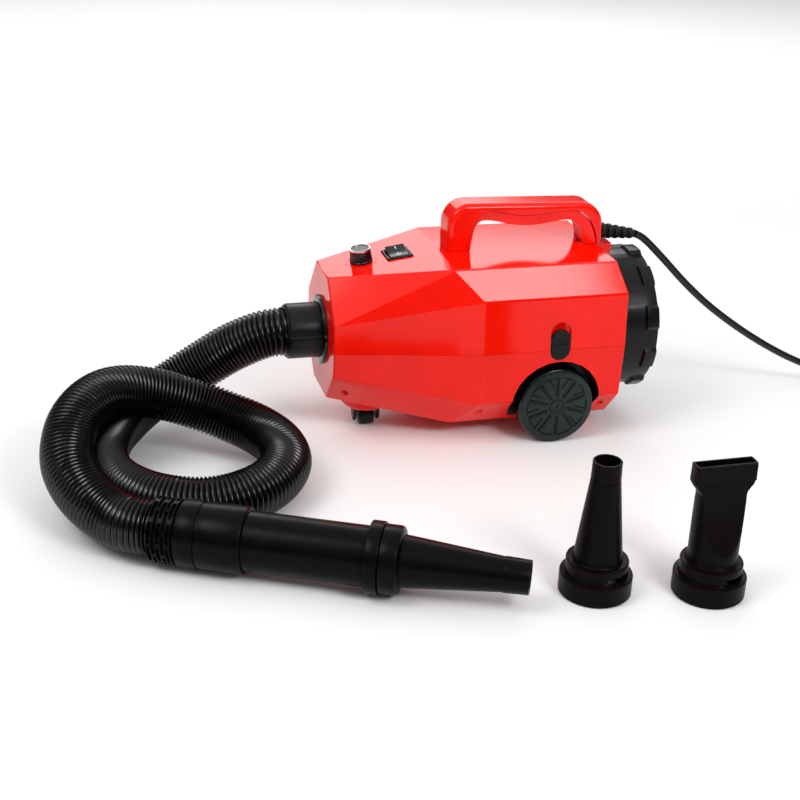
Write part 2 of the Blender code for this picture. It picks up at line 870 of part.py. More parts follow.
def make_controls(machine, black, chrome, green):
    switch = roof_frame(machine, "switch_axis", *SWITCH_AT)
    half_x, half_y = (side / 2 for side in SWITCH_SIZE)
    bezel = add_object(
        "switch_bezel", block((-half_x, -half_y, GAP), (half_x, half_y, 0.0022)), black, switch
    )
    case = block((-half_x + 0.0019, -half_y + 0.0019, -0.018), (half_x - 0.0019, half_y - 0.0019, 0.0015))
    join(bezel, add_object("switch_case", case, None, switch))
    room_x, room_y = (side / 2 + GAP for side in ROCKER_SIZE)
    room = block((-room_x, -room_y, -0.0120), (room_x, room_y, 0.01))
    cut(bezel, add_object("rocker_room", room, None, switch))
    make_rocker(switch, black)

    knob = roof_frame(machine, "knob_axis", KNOB_X)
    body = turned(
        (
            (0, GAP),
            (KNOB_RADIUS + 0.0006, GAP),
            (KNOB_RADIUS + 0.0006, 0.0020),
            (KNOB_RADIUS, 0.0026),
            (KNOB_RADIUS, KNOB_HEIGHT - 0.0028),
            (KNOB_RADIUS - 0.0016, KNOB_HEIGHT - 0.0028),
            (KNOB_RADIUS - 0.0016, KNOB_HEIGHT - 0.0006),
            (0, KNOB_HEIGHT - 0.0006),
        ),
        ROUND_STEPS,
    )
    knob_body = add_object("speed_knob", body, black, knob)
    shaft_bore = turned(rod_profile(0.0034, -0.01, 0.0080), TINY_STEPS)
    cut(knob_body, add_object("knob_bore", shaft_bore, None, knob))
    rim_low = KNOB_HEIGHT - 0.0025
    rim = ring_profile(KNOB_RADIUS - 0.0013, KNOB_RADIUS + 0.0002, rim_low, KNOB_HEIGHT, 0.0004)
    add_object("knob_rim", turned(rim, ROUND_STEPS), chrome, knob)

    pot = turned(
        (
            (0, -0.0180),
            (0.0085, -0.0180),
            (0.0085, -0.0040),
            (0.0030, -0.0040),
            (0.0030, 0.0076),
            (0, 0.0076),
        ),
        TINY_STEPS,
    )
    add_object("speed_potentiometer", pot, chrome, knob)
    board = block((0.030, -0.026, BOARD_Z), (0.112, 0.026, BOARD_Z + 0.0016))
    control_board = add_object("control_board", board, green, machine)
    parts = (
        (0.048, -0.014, 0.008, 0.0070),
        (0.072, 0.010, 0.010, 0.008),
        (0.095, -0.008, 0.009, 0.010),
    )
    for i, (x, y, half, height) in enumerate(parts):
        chip = block((x - half, y - half, BOARD_Z + 0.001), (x + half, y + half, BOARD_Z + height))
        join(control_board, add_object(f"board_part_{i}", chip, None, machine))


def make_rocker(switch, black):
    """The rocker rests switched off, its near half down; it turns about the switch's X axis."""
    half_x, half_y = (side / 2 for side in ROCKER_SIZE)
    axis = empty("rocker_axis", switch, (0, 0, -0.0005), (ROCKER_TILT, 0, 0))
    foot_y = half_y - 0.0012
    top_y = half_y - 0.0010
    outline = [(-foot_y, -0.0065), (foot_y, -0.0065), (top_y, ROCKER_TOP)]
    for step in range(1, 6):
        t = step / 6
        dip = 0.0012 * math.sin(math.pi * t)
        outline.append((top_y * (1 - 2 * t), ROCKER_TOP - dip))
    outline.append((-top_y, ROCKER_TOP))
    rings = [[(x, y, z) for y, z in outline] for x in (-half_x, half_x)]
    add_object("switch_rocker", lofted(rings, closed=False), black, axis)


def make_outlet(machine, black):
    collar = turned(
        (
            (0.0302, -0.0040),
            (OUTLET_FLANGE_RADIUS - 0.0012, -0.0040),
            (OUTLET_FLANGE_RADIUS, -0.0028),
            (OUTLET_FLANGE_RADIUS, -GAP),
            (OUTLET_HOLE_RADIUS - GAP, -GAP),
            (OUTLET_HOLE_RADIUS - GAP, 0.0130),
            (0.0302, 0.0130),
        ),
        LARGE_STEPS,
    )
    add_object("outlet_collar", collar, black, machine, (0, 0, OUTLET_Z), ALONG_X)
    duct = turned(
        (
            (0.0300, 0.0133),
            (0.0330, 0.0133),
            (0.0345, 0.0300),
            (0.0480, 0.1600),
            (0.0462, 0.1600),
            (0.0322, 0.0300),
        ),
        ROUND_STEPS,
    )
    add_object("outlet_duct", duct, black, machine, (0, 0, OUTLET_Z), ALONG_X)
    cuff = turned(
        (
            (CUFF_BORE, -CUFF_REACH),
            (CUFF_RADIUS - 0.0015, -CUFF_REACH),
            (CUFF_RADIUS, -CUFF_REACH + 0.0020),
            (CUFF_RADIUS, 0.0100),
            (CUFF_RADIUS - 0.0010, 0.0120),
            (CUFF_BORE, 0.0120),
        ),
        LARGE_STEPS,
    )
    add_object("hose_cuff", cuff, black, machine, (0, 0, OUTLET_Z), ALONG_X)


def cover_lobes(angle):
    """Ten flat-topped grip lobes round the cover's rim."""
    return min(1.0, max(0.0, 0.5 + 1.6 * math.cos(COVER_LOBES * angle)))


def make_intake(machine, black, foam, grey):
    cover = turned(
        (
            (COVER_INNER_RADIUS, COVER_NECK_X),
            (COVER_NECK_RADIUS, COVER_NECK_X),
            (COVER_NECK_RADIUS, COVER_FRONT_X),
            (COVER_RADIUS, COVER_FRONT_X),
            (COVER_RADIUS, 0.3410),
            (COVER_RADIUS, 0.3440, COVER_LOBE_HEIGHT),
            (COVER_RADIUS, COVER_REAR_X, COVER_LOBE_HEIGHT),
            (COVER_OPENING_RADIUS, COVER_REAR_X),
            (COVER_OPENING_RADIUS, COVER_REAR_X - WALL),
            (COVER_RADIUS - WALL, COVER_REAR_X - WALL),
            (COVER_RADIUS - WALL, COVER_FRONT_X + WALL),
            (COVER_INNER_RADIUS, COVER_FRONT_X + WALL),
        ),
        COVER_STEPS,
        cover_lobes,
    )
    add_object("rear_cover", cover, black, machine, (0, 0, INTAKE_Z), ALONG_X)
    grille = rod_profile(GRILLE_RADIUS, COVER_REAR_X - 0.0068, COVER_REAR_X - 0.0036)
    grille_obj = add_object(
        "intake_grille", turned(grille, ROUND_STEPS), black, machine, (0, 0, INTAKE_Z), ALONG_X
    )
    slots_radius = COVER_OPENING_RADIUS - WALL
    for i in range(-4, 5):
        aside = i * GRILLE_SLOT_PITCH
        reach = math.sqrt(slots_radius**2 - aside**2) - 0.002
        slot = block(
            (COVER_REAR_X - 0.02, -reach, INTAKE_Z + aside - GRILLE_SLOT_HALF_WIDTH),
            (COVER_REAR_X + 0.01, reach, INTAKE_Z + aside + GRILLE_SLOT_HALF_WIDTH),
        )
        cut(grille_obj, add_object(f"grille_slot_{i + 4}", slot, None, machine))
    pad = rod_profile(FILTER_RADIUS, FILTER_FRONT_X, COVER_REAR_X - 0.0072)
    add_object("filter_foam", turned(pad, ROUND_STEPS), foam, machine, (0, 0, INTAKE_Z), ALONG_X)
    seal = turned(ring_profile(INTAKE_HOLE_RADIUS + 0.0006, 0.0720, 0.3160, 0.3190), ROUND_STEPS)
    add_object("filter_seat", seal, grey, machine, (0, 0, INTAKE_Z), ALONG_X)


def add_motor_piece(machine, name, profile, finish, steps=ROUND_STEPS):
    return add_object(name, turned(profile, steps), finish, machine, (0, 0, MOTOR_Z), ALONG_X)


def make_motor(machine, steel, copper, black, rubber):
    low, high = FAN_CASE_X
    case = (
        (0.0420, low),
        (FAN_CASE_RADIUS, low),
        (FAN_CASE_RADIUS, high),
        (0.0220, high),
        (0.0220, high - 0.0015),
        (FAN_CASE_RADIUS - 0.0015, high - 0.0015),
        (FAN_CASE_RADIUS - 0.0015, low + 0.0015),
        (0.0420, low + 0.0015),
    )
    add_motor_piece(machine, "fan_case", case, steel)
    stages = (
        ("impeller_first_stage", IMPELLER_FIRST_X),
        ("impeller_second_stage", IMPELLER_SECOND_X),
    )
    for name, start in stages:
        profile = (
            (SHAFT_RADIUS + GAP, start),
            (IMPELLER_RADIUS, start),
            (IMPELLER_RADIUS, start + 0.0010),
            (0.0100, start + 0.0010),
            (0.0100, start + IMPELLER_HEIGHT),
            (SHAFT_RADIUS + GAP, start + IMPELLER_HEIGHT),
        )
        disc = add_motor_piece(machine, name, profile, steel)
        for blade in range(IMPELLER_VANES):
            angle = 2 * math.pi * blade / IMPELLER_VANES
            vane = block(
                (0.0090, -0.0005, start + 0.0005),
                (IMPELLER_RADIUS - 0.0020, 0.0005, start + IMPELLER_HEIGHT - 0.0010),
            )
            vane_obj = add_object(
                f"{name}_vane_{blade}", vane, None, disc, (0, 0, 0), (0, 0, angle)
            )
            join(disc, vane_obj)
    diffuser = ring_profile(0.0160, FAN_CASE_RADIUS - 0.0019, 0.2570, 0.2582)
    add_motor_piece(machine, "diffuser_plate", diffuser, steel)
    frame_low, frame_high = MOTOR_X
    stator = (
        (0.0240, frame_low + 0.014),
        (MOTOR_RADIUS - 0.0015, frame_low + 0.014),
        (MOTOR_RADIUS - 0.0015, frame_high - 0.010),
        (0.0240, frame_high - 0.010),
    )
    add_motor_piece(machine, "stator", stator, copper)
    frame = (
        (0.0114, frame_low),
        (MOTOR_RADIUS, frame_low),
        (MOTOR_RADIUS, frame_high),
        (0.0114, frame_high),
        (0.0114, frame_high - 0.0020),
        (MOTOR_RADIUS - 0.0012, frame_high - 0.0020),
        (MOTOR_RADIUS - 0.0012, frame_low + 0.0020),
        (0.0114, frame_low + 0.0020),
    )
    add_motor_piece(machine, "motor_frame", frame, steel)
    rotor = (
        (0, SHAFT_X[0]),
        (SHAFT_RADIUS, SHAFT_X[0]),
        (SHAFT_RADIUS, 0.1740),
        (0.0110, 0.1740),
        (0.0110, 0.1820),
        (0.0170, 0.1820),
        (0.0220, 0.1860),
        (0.0220, 0.2120),
        (0.0170, 0.2160),
        (SHAFT_RADIUS, 0.2160),
        (SHAFT_RADIUS, SHAFT_X[1]),
        (0, SHAFT_X[1]),
    )
    add_motor_piece(machine, "rotor", rotor, copper, SMALL_STEPS)
    for name, start in (("bearing_front", 0.1640), ("bearing_rear", 0.2215)):
        bearing = ring_profile(SHAFT_RADIUS + 0.0002, 0.0110, start, start + BEARING_LENGTH)
        add_motor_piece(machine, name, bearing, steel, SMALL_STEPS)
    for side, name in ((-1, "brush_near"), (1, "brush_far")):
        low_y, high_y = sorted((side * 0.0113, side * 0.0300))
        brush = block((BRUSH_X[0], low_y, MOTOR_Z - 0.0030), (BRUSH_X[1], high_y, MOTOR_Z + 0.0030))
        add_object(name, brush, black, machine)
    front = ring_profile(MOTOR_RADIUS + GAP, MOTOR_RADIUS + 0.0060, 0.1680, 0.1780)
    add_motor_piece(machine, "motor_mount_front", front, rubber)
    rear = ring_profile(FAN_CASE_RADIUS + GAP, FAN_CASE_RADIUS + 0.0040, 0.2490, 0.2610)
    add_motor_piece(machine, "motor_mount_rear", rear, rubber)


def make_wheels(machine, wheel_plastic, tyre_rubber, steel):
    axle = turned(rod_profile(AXLE_RADIUS, -AXLE_HALF_LENGTH, AXLE_HALF_LENGTH, 0.0005), SMALL_STEPS)
    add_object("rear_axle", axle, steel, machine, (WHEEL_X, 0, WHEEL_RADIUS), ALONG_Y)
    for side, label in ((-1, "near"), (1, "far")):
        facing = ALONG_Y if side > 0 else ALONG_MINUS_Y
        hub = (WHEEL_X, 0, WHEEL_RADIUS)
        back = WHEEL_FACE_Y - WHEEL_WIDTH
        disc = (
            (AXLE_RADIUS + GAP, back),
            (0.0100, back),
            (0.0120, back + 0.0100),
            (0.0310, back + 0.0140),
            (0.0325, back + 0.0020),
            (TYRE_INNER_RADIUS - GAP, back + 0.0020),
            (TYRE_INNER_RADIUS - GAP, WHEEL_FACE_Y - 0.0008),
            (0.0082, WHEEL_FACE_Y - 0.0008),
            (0.0078, WHEEL_FACE_Y),
            (0.0020, WHEEL_FACE_Y),
            (0.0020, WHEEL_FACE_Y - 0.0028),
            (AXLE_RADIUS + GAP, WHEEL_FACE_Y - 0.0028),
        )
        add_object(f"wheel_{label}", turned(disc, LARGE_STEPS), wheel_plastic, machine, hub, facing)
        tyre = ring_profile(TYRE_INNER_RADIUS, WHEEL_RADIUS, back, WHEEL_FACE_Y, 0.0015)
        add_object(f"tyre_{label}", turned(tyre, LARGE_STEPS), tyre_rubber, machine, hub, facing)


def make_caster(machine, black, steel):
    swivel = empty("caster_swivel_axis", machine, (CASTER_X, 0, 0))
    plate = turned(
        (
            (0, CASTER_PLATE_Z),
            (CASTER_PLATE_RADIUS, CASTER_PLATE_Z),
            (CASTER_PLATE_RADIUS, CASTER_BOSS_Z - GAP),
            (0.0037, CASTER_BOSS_Z - GAP),
            (0.0037, CASTER_STEM_TOP_Z),
            (0, CASTER_STEM_TOP_Z),
        ),
        SMALL_STEPS,
    )
    fork = add_object("caster_fork", plate, black, swivel)
    for side, label in ((-1, "left"), (1, "right")):
        low_x, high_x = sorted((side * 0.0112, side * 0.0145))
        leg = block((low_x, -CASTER_TRAIL - 0.0055, 0.0045), (high_x, 0.0040, 0.0210))
        join(fork, add_object(f"fork_leg_{label}", leg, None, swivel))
    pin_hole = helper_cylinder(
        "caster_pin_hole", swivel, 0.0018, -0.020, 0.020,
        (0, -CASTER_TRAIL, CASTER_WHEEL_RADIUS), ALONG_X, TINY_STEPS,
    )
    cut(fork, pin_hole)
    axis = empty("caster_wheel_axis", swivel, (0, -CASTER_TRAIL, CASTER_WHEEL_RADIUS), ALONG_X)
    half = CASTER_WHEEL_WIDTH / 2
    wheel = ring_profile(0.0018, CASTER_WHEEL_RADIUS, -half, half, 0.0012)
    add_object("caster_wheel", turned(wheel, ROUND_STEPS), black, axis)
    pin = rod_profile(0.0015, -0.0150, 0.0150, 0.0003)
    add_object("caster_pin", turned(pin, TINY_STEPS), steel, axis)


def make_latches(machine, black):
    for side, label in ((-1, "near"), (1, "far")):
        outline = obround(LATCH_X, *LATCH_Z, LATCH_WIDTH)
        low_y, high_y = sorted((side * (LATCH_POCKET_Y + GAP), side * LATCH_FACE_Y))
        latch = add_object(f"side_latch_{label}", extruded(outline, low_y, high_y), black, machine)
        for i, z in enumerate(LATCH_RIDGE_Z):
            low_y, high_y = sorted((side * (LATCH_FACE_Y - 0.0012), side * (LATCH_FACE_Y + 0.0010)))
            ridge = block((LATCH_X - 0.0085, low_y, z), (LATCH_X + 0.0085, high_y, z + 0.0014))
            join(latch, add_object(f"latch_ridge_{label}_{i}", ridge, None, machine))


def make_wand(machine, black):
    """Hose end sleeve, collar, tube and nozzle on one level axis."""
    axis = empty("wand_axis", machine, WAND_START, (0, 0, WAND_HEADING))

    def turned_on_axis(name, profile, steps=LARGE_STEPS):
        return add_object(name, turned(profile, steps), black, axis, (0, 0, 0), ALONG_X)

    sleeve = [(WAND_BORE, SLEEVE_START_X)]
    for rib in range(3):
        start = SLEEVE_START_X + SLEEVE_RIB_PITCH * rib
        sleeve += [
            (SLEEVE_RADIUS - 0.0015, start),
            (SLEEVE_RADIUS, start + 0.0015),
            (SLEEVE_RADIUS, start + 0.0060),
        ]
    sleeve += [(SLEEVE_RADIUS, -GAP), (WAND_BORE, -GAP)]
    turned_on_axis("hose_end_sleeve", sleeve)
    collar = (
        (WAND_BORE, 0.0),
        (WAND_COLLAR_RADIUS, 0.0),
        (WAND_COLLAR_RADIUS, 0.0180),
        (WAND_COLLAR_RADIUS - 0.0012, 0.0180),
        (WAND_COLLAR_RADIUS - 0.0012, 0.0200),
        (WAND_COLLAR_RADIUS, 0.0200),
        (WAND_COLLAR_RADIUS, 0.0595),
        (0.0295, 0.0610),
        (0.0278, 0.0610),
        (0.0278, 0.0500),
        (WAND_BORE, 0.0500),
    )
    turned_on_axis("wand_collar", collar)
    tube = ring_profile(WAND_BORE, WAND_RADIUS, *WAND_TUBE_X)
    turned_on_axis("wand_tube", tube)
    ring_low, ring_high = LOCK_RING_X
    ring = (
        (WAND_RADIUS + GAP, ring_low),
        (LOCK_RING_RADIUS - 0.0012, ring_low),
        (LOCK_RING_RADIUS, ring_low + 0.0012),
        (LOCK_RING_RADIUS, ring_high - 0.0013),
        (LOCK_RING_RADIUS - 0.0012, ring_high),
        (WAND_RADIUS + GAP, ring_high),
    )
    ring_obj = turned_on_axis("nozzle_lock_ring", ring)
    mark = block((-0.0008, -0.0008, ring_low + 0.0020), (0.0008, 0.0008, ring_high - 0.0023))
    mark_x = -(LOCK_RING_RADIUS - 0.0005)
    join(ring_obj, add_object("ring_mark", mark, None, ring_obj, (mark_x, 0, 0)))
    nozzle = (
        (WAND_BORE - 0.0020, WAND_TUBE_X[1] + GAP),
        (WAND_RADIUS, WAND_TUBE_X[1] + GAP),
        (WAND_RADIUS, ring_high + GAP),
        (WAND_NOZZLE_RADIUS, ring_high + GAP),
        (WAND_NOZZLE_RADIUS, 0.2005),
        (0.0240, 0.2025),
        (0.0158, 0.2915),
        (0.0154, WAND_NOZZLE_TIP_X),
        (0.0134, WAND_NOZZLE_TIP_X),
        (0.0138, 0.2920),
        (0.0215, 0.2050),
        (WAND_BORE - 0.0020, 0.1970),
    )
    turned_on_axis("wand_nozzle", nozzle)


def nozzle_base_rings(section):
    """Outer rings of a spare nozzle's foot, from the floor up to its collar."""
    flange = NOZZLE_FLANGE_RADIUS
    collar = NOZZLE_COLLAR_RADIUS
    outer = (
        (flange, 0.0),
        (flange, 0.0180),
        (flange - 0.0015, 0.0195),
        (collar, 0.0195),
        (collar, 0.0330),
    )
    return [section(2 * radius, radius, z) for radius, z in outer]


def flattened_circle(width, half_depth, z, steps=ROUND_STEPS):
    """A circle of the given width, cut flat at half_depth in front and behind."""
    ring = []
    for step in range(steps):
        angle = 2 * math.pi * step / steps
        x = width / 2 * math.cos(angle)
        y = width / 2 * math.sin(angle)
        ring.append((x, max(-half_depth, min(half_depth, y)), z))
    return ring


def cut_bayonet_slot(nozzle, parent, name):
    """A level slot through the collar's wall, just above the flange, on the near side."""
    low_x, high_x = BAYONET_SLOT_X
    low_z, high_z = BAYONET_SLOT_Z
    slot = block((low_x, -0.040, low_z), (high_x, -0.004, high_z))
    cut(nozzle, add_object(f"{name}_bayonet_slot", slot, None, parent))


def make_spare_nozzles(machine, black):
    top = NOZZLE_HEIGHT
    cone_at = empty("cone_nozzle_at", machine, CONE_NOZZLE_AT)
    rings = nozzle_base_rings(flattened_circle)
    outer = ((0.0222, 0.0330), (0.0132, 0.1125), (0.0136, 0.1135), (0.0131, top))
    rings += [flattened_circle(2 * r, r, z) for r, z in outer]
    inner = ((0.0111, top), (0.0112, 0.1130), (0.0200, 0.0350), (0.0262, 0.0300), (0.0262, 0.0))
    rings += [flattened_circle(2 * r, r, z) for r, z in inner]
    cone = add_object("cone_nozzle", lofted(rings, closed=True), black, cone_at)
    cut_bayonet_slot(cone, cone_at, "cone")

    flat_at = empty("flat_nozzle_at", machine, FLAT_NOZZLE_AT)
    rings = nozzle_base_rings(flattened_circle)
    column = 0.0450
    mouth = 0.0587
    outer = [(column, 0.0225, 0.0330), (column, 0.0225, 0.0480)]
    for step in range(1, 3):
        t = step / 2
        outer.append((column, 0.0225 - 0.0155 * t, 0.0480 + 0.0520 * t))
    outer += [(mouth, 0.0070, 0.1130), (mouth, 0.0070, top)]
    rings += [flattened_circle(*section) for section in outer]
    inner = [
        (mouth - 0.0044, 0.0048, top),
        (mouth - 0.0044, 0.0048, 0.1130),
        (column - 0.0044, 0.0048, 0.0990),
        (column - 0.0044, 0.0100, 0.0810),
        (column - 0.0044, 0.0203, 0.0400),
        (0.0524, 0.0262, 0.0300),
        (0.0524, 0.0262, 0.0),
    ]
    rings += [flattened_circle(*section) for section in inner]
    flat = add_object("flat_nozzle", lofted(rings, closed=True), black, flat_at)
    cut_bayonet_slot(flat, flat_at, "flat")


def make_cord(machine, black):
    relief = [(0, -RELIEF_NECK), (RELIEF_BORE - GAP, -RELIEF_NECK), (RELIEF_BORE - GAP, 0.0)]
    for rib in range(RELIEF_RIBS):
        x = RELIEF_RIB_PITCH * rib
        radius = RELIEF_RIB_RADIUS - RELIEF_RIB_TAPER * rib
        relief += [(radius, x), (radius, x + 0.0050)]
        relief += [(radius - 0.0016, x + 0.0050), (radius - 0.0016, x + RELIEF_RIB_PITCH)]
    relief += [(0, RELIEF_LENGTH)]
    add_object("strain_relief", turned(relief, SMALL_STEPS), black, machine, RELIEF_AT, RELIEF_TURN)
    add_tube("power_cord", CORD_ROUTE, CORD_DIAMETER / 2, 0.016, black, machine)
    add_tube("hose", HOSE_ROUTE, HOSE_DIAMETER / 2, 0.026, black, machine, 3)
    coil = ring_profile(COIL_INNER_RADIUS, COIL_OUTER_RADIUS, GAP, COIL_HEIGHT, 0.002)
    add_object("cord_coil", turned(coil, ROUND_STEPS), black, machine, COIL_AT)
    add_tube("cord_tail", TAIL_ROUTE, CORD_DIAMETER / 2, 0.012, black, machine)
    plug = hull(
        [(-0.024, y, z) for y in (-0.013, 0.013) for z in (-0.0098, 0.0098)]
        + [(0.010, y, z) for y in (-0.012, 0.012) for z in (-0.0090, 0.0090)]
        + [(0.024, y, z) for y in (-0.005, 0.005) for z in (-0.0045, 0.0045)]
    )
    plug_obj = add_object("mains_plug", plug, black, machine, PLUG_AT)
    for i, y in enumerate((-0.0065, 0.0065)):
        blade = block((-0.042, y - 0.0010, -0.0032), (-0.020, y + 0.0010, 0.0032))
        join(plug_obj, add_object(f"plug_blade_{i}", blade, None, machine, PLUG_AT))


def main():
    clear_scene()
    red = material("red_plastic", (0.80, 0.03, 0.015), 0.18)
    black = material("black_plastic", (0.012, 0.012, 0.013), 0.38)
    wheel_plastic = material("wheel_plastic", (0.030, 0.040, 0.038), 0.45)
    rubber = material("rubber", (0.015, 0.015, 0.015), 0.75)
    steel = material("steel", (0.55, 0.55, 0.56), 0.35, 1.0)
    chrome = material("chrome", (0.80, 0.80, 0.80), 0.08, 1.0)
    copper = material("copper", (0.55, 0.25, 0.12), 0.40, 1.0)
    foam = material("filter_foam", (0.05, 0.05, 0.055), 0.95)
    grey = material("grey_plastic", (0.30, 0.31, 0.32), 0.45)
    green = material("circuit_board", (0.02, 0.16, 0.06), 0.50)

    machine = empty("machine", None, MACHINE_AT)
    cavity = make_cavity(machine)
    common = make_common_cutters(machine)
    make_upper_shell(machine, red, cavity, common)
    make_lower_shell(machine, red, cavity, common)
    make_screws(machine, steel)
    make_handle(machine, red)
    make_controls(machine, black, chrome, green)
    make_outlet(machine, black)
    make_intake(machine, black, foam, grey)
    make_motor(machine, steel, copper, black, rubber)
    make_wheels(machine, wheel_plastic, rubber, steel)
    make_caster(machine, black, steel)
    make_latches(machine, black)
    make_wand(machine, black)
    make_spare_nozzles(machine, black)
    make_cord(machine, black)


main()
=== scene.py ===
"""The looks of the pet dryer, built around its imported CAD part. Metres, +Z up, floor at Z = 0."""

from math import atan2, copysign, cos, degrees, hypot, pi, radians, sin, sqrt, tan

import bmesh
import bpy
from mathutils import Matrix, Vector


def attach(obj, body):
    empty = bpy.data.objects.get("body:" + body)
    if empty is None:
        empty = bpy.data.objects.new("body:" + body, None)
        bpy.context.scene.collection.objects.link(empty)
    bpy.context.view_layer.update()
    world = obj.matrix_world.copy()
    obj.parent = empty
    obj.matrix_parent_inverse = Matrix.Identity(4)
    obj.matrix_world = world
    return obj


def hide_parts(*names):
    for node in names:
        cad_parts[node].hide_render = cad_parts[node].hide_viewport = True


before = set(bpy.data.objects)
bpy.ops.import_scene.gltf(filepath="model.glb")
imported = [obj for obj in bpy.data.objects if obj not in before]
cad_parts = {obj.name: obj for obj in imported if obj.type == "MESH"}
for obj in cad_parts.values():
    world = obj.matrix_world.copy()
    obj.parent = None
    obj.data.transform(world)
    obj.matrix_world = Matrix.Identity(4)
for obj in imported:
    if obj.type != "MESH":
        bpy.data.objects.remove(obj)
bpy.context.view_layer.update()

# Where the machine's own zero point (nose plane, middle, floor) lies in the part's frame.
MACHINE = Matrix.Translation((-0.0690565, 0.1709, 0.0))
ROOF_SLOPE = atan2(0.0170, 0.1245)
OUTLET_Z = 0.1130
INTAKE_Z = 0.1070
WAND_START = Vector((-0.1840, -0.2640, 0.0330))
WAND_HEADING = radians(-26.1)
CONE_AT = Vector((0.1695, -0.3822, 0.0))
FLAT_AT = Vector((0.2703, -0.4050, 0.0))
COIL_AT = Vector((0.7420, 0.0605, 0.0))
PLUG_AT = Vector((0.7150, -0.0817, 0.0102))
RELIEF_AT = Vector((0.3096, 0.0, 0.2083))
CORD_DIAMETER = 0.0080
HOSE_DIAMETER = 0.0520
HOSE_PITCH = 0.0046
NOSE_TOP_Z = 0.1805
KNOB_X = 0.0428
SWITCH_AT = (0.0825, 0.0030)
GRILLE_REAR_X = 0.3544
WHEEL_X = 0.2410
WHEEL_RADIUS = 0.0425
WHEEL_FACE = 0.0915
WHEEL_WIDTH = 0.0230
CASTER_X = 0.0512
FOOT_Z = 0.1978
WAND_RADIUS = 0.0275
NOZZLE_HEIGHT = 0.1300
GAP = 0.0003
ARCH_AT = (0.2390, 0.0465)
ARCH_RADIUS = 0.0500
BODY = "housing"
# A shell's face over this area (square metres) is one of the housing's flat facets.
FACET_AREA = 0.0009

HOSE_ROUTE = (
    (-0.0395, 0.000, 0.113), (-0.048, 0.000, 0.1125), (-0.061, 0.002, 0.110),
    (-0.078, 0.006, 0.103), (-0.099, 0.012, 0.091), (-0.118, 0.016, 0.078),
    (-0.137, 0.018, 0.066), (-0.156, 0.017, 0.055), (-0.175, 0.012, 0.046),
    (-0.194, 0.001, 0.038), (-0.213, -0.018, 0.031), (-0.230, -0.046, 0.027),
    (-0.240, -0.082, 0.0263), (-0.239, -0.119, 0.0263), (-0.227, -0.153, 0.0263),
    (-0.206, -0.180, 0.0263), (-0.182, -0.196, 0.0265), (-0.158, -0.203, 0.0265),
    (-0.134, -0.203, 0.027), (-0.111, -0.196, 0.028), (-0.090, -0.182, 0.029),
    (-0.074, -0.163, 0.031), (-0.065, -0.140, 0.032), (-0.065, -0.116, 0.034),
    (-0.072, -0.094, 0.036), (-0.087, -0.074, 0.040), (-0.108, -0.059, 0.046),
    (-0.134, -0.049, 0.055), (-0.162, -0.046, 0.066), (-0.191, -0.048, 0.076),
    (-0.216, -0.056, 0.083), (-0.237, -0.069, 0.085), (-0.255, -0.088, 0.082),
    (-0.268, -0.109, 0.075), (-0.275, -0.132, 0.066), (-0.277, -0.156, 0.057),
    (-0.272, -0.179, 0.048), (-0.261, -0.202, 0.040), (-0.245, -0.223, 0.034),
    (-0.2285, -0.240, 0.033), (-0.2074, -0.2525, 0.033),
)

CORD_ROUTE = (
    (0.3535, 0.000, 0.2020), (0.3625, 0.000, 0.1972), (0.3740, 0.000, 0.1875),
    (0.3940, 0.000, 0.1680), (0.4210, 0.000, 0.1410), (0.4490, 0.000, 0.1160),
    (0.4770, 0.000, 0.0945), (0.5060, 0.000, 0.0745), (0.5350, 0.000, 0.0565),
    (0.5630, 0.000, 0.0410), (0.5870, 0.000, 0.0295), (0.6130, 0.000, 0.0185),
    (0.6400, 0.000, 0.0100), (0.6670, 0.000, 0.0055), (0.6950, 0.000, 0.0042),
)


# ---------------------------------------------------------------- shapes


def linked(name, data):
    """A new object of the scene."""
    obj = bpy.data.objects.new(name, data)
    bpy.context.scene.collection.objects.link(obj)
    return obj


def as_mesh(name, bm):
    mesh = bpy.data.meshes.new(name)
    bm.to_mesh(mesh)
    bm.free()
    return mesh


def polar(radius, angle):
    return (radius * cos(angle), radius * sin(angle))


def eased(t):
    """0 to 1 with a gentle start and end."""
    return 3 * t * t - 2 * t**3


def lofted(rings, closed):
    """Skins a list of point rings; an open loft is capped at both ends."""
    bm = bmesh.new()
    rows = [[bm.verts.new(point) for point in ring] for ring in rings]
    pairs = list(zip(rows, rows[1:]))
    if closed:
        pairs.append((rows[-1], rows[0]))
    for first, second in pairs:
        count = max(len(first), len(second))
        for i in range(count):
            j = (i + 1) % count
            corners = (
                first[i % len(first)],
                first[j % len(first)],
                second[j % len(second)],
                second[i % len(second)],
            )
            bm.faces.new(list(dict.fromkeys(corners)))
    if not closed:
        for row in (rows[0], rows[-1]):
            if len(row) > 2:
                bm.faces.new(row)
    return bm


def turned(profile, steps, wave=None):
    """A solid of revolution about Z from (radius, height[, share of the wave]) points."""
    rings = []
    for point in profile:
        radius, height = point[:2]
        share = point[2] if len(point) > 2 else 0.0
        if radius == 0:
            rings.append([(0.0, 0.0, height)])
            continue
        ring = []
        for step in range(steps):
            angle = 2 * pi * step / steps
            reach = radius + (share * wave(angle) if wave else 0.0)
            ring.append((*polar(reach, angle), height))
        rings.append(ring)
    on_axis = profile[0][0] == 0 and profile[-1][0] == 0
    return lofted(rings, closed=not on_axis)


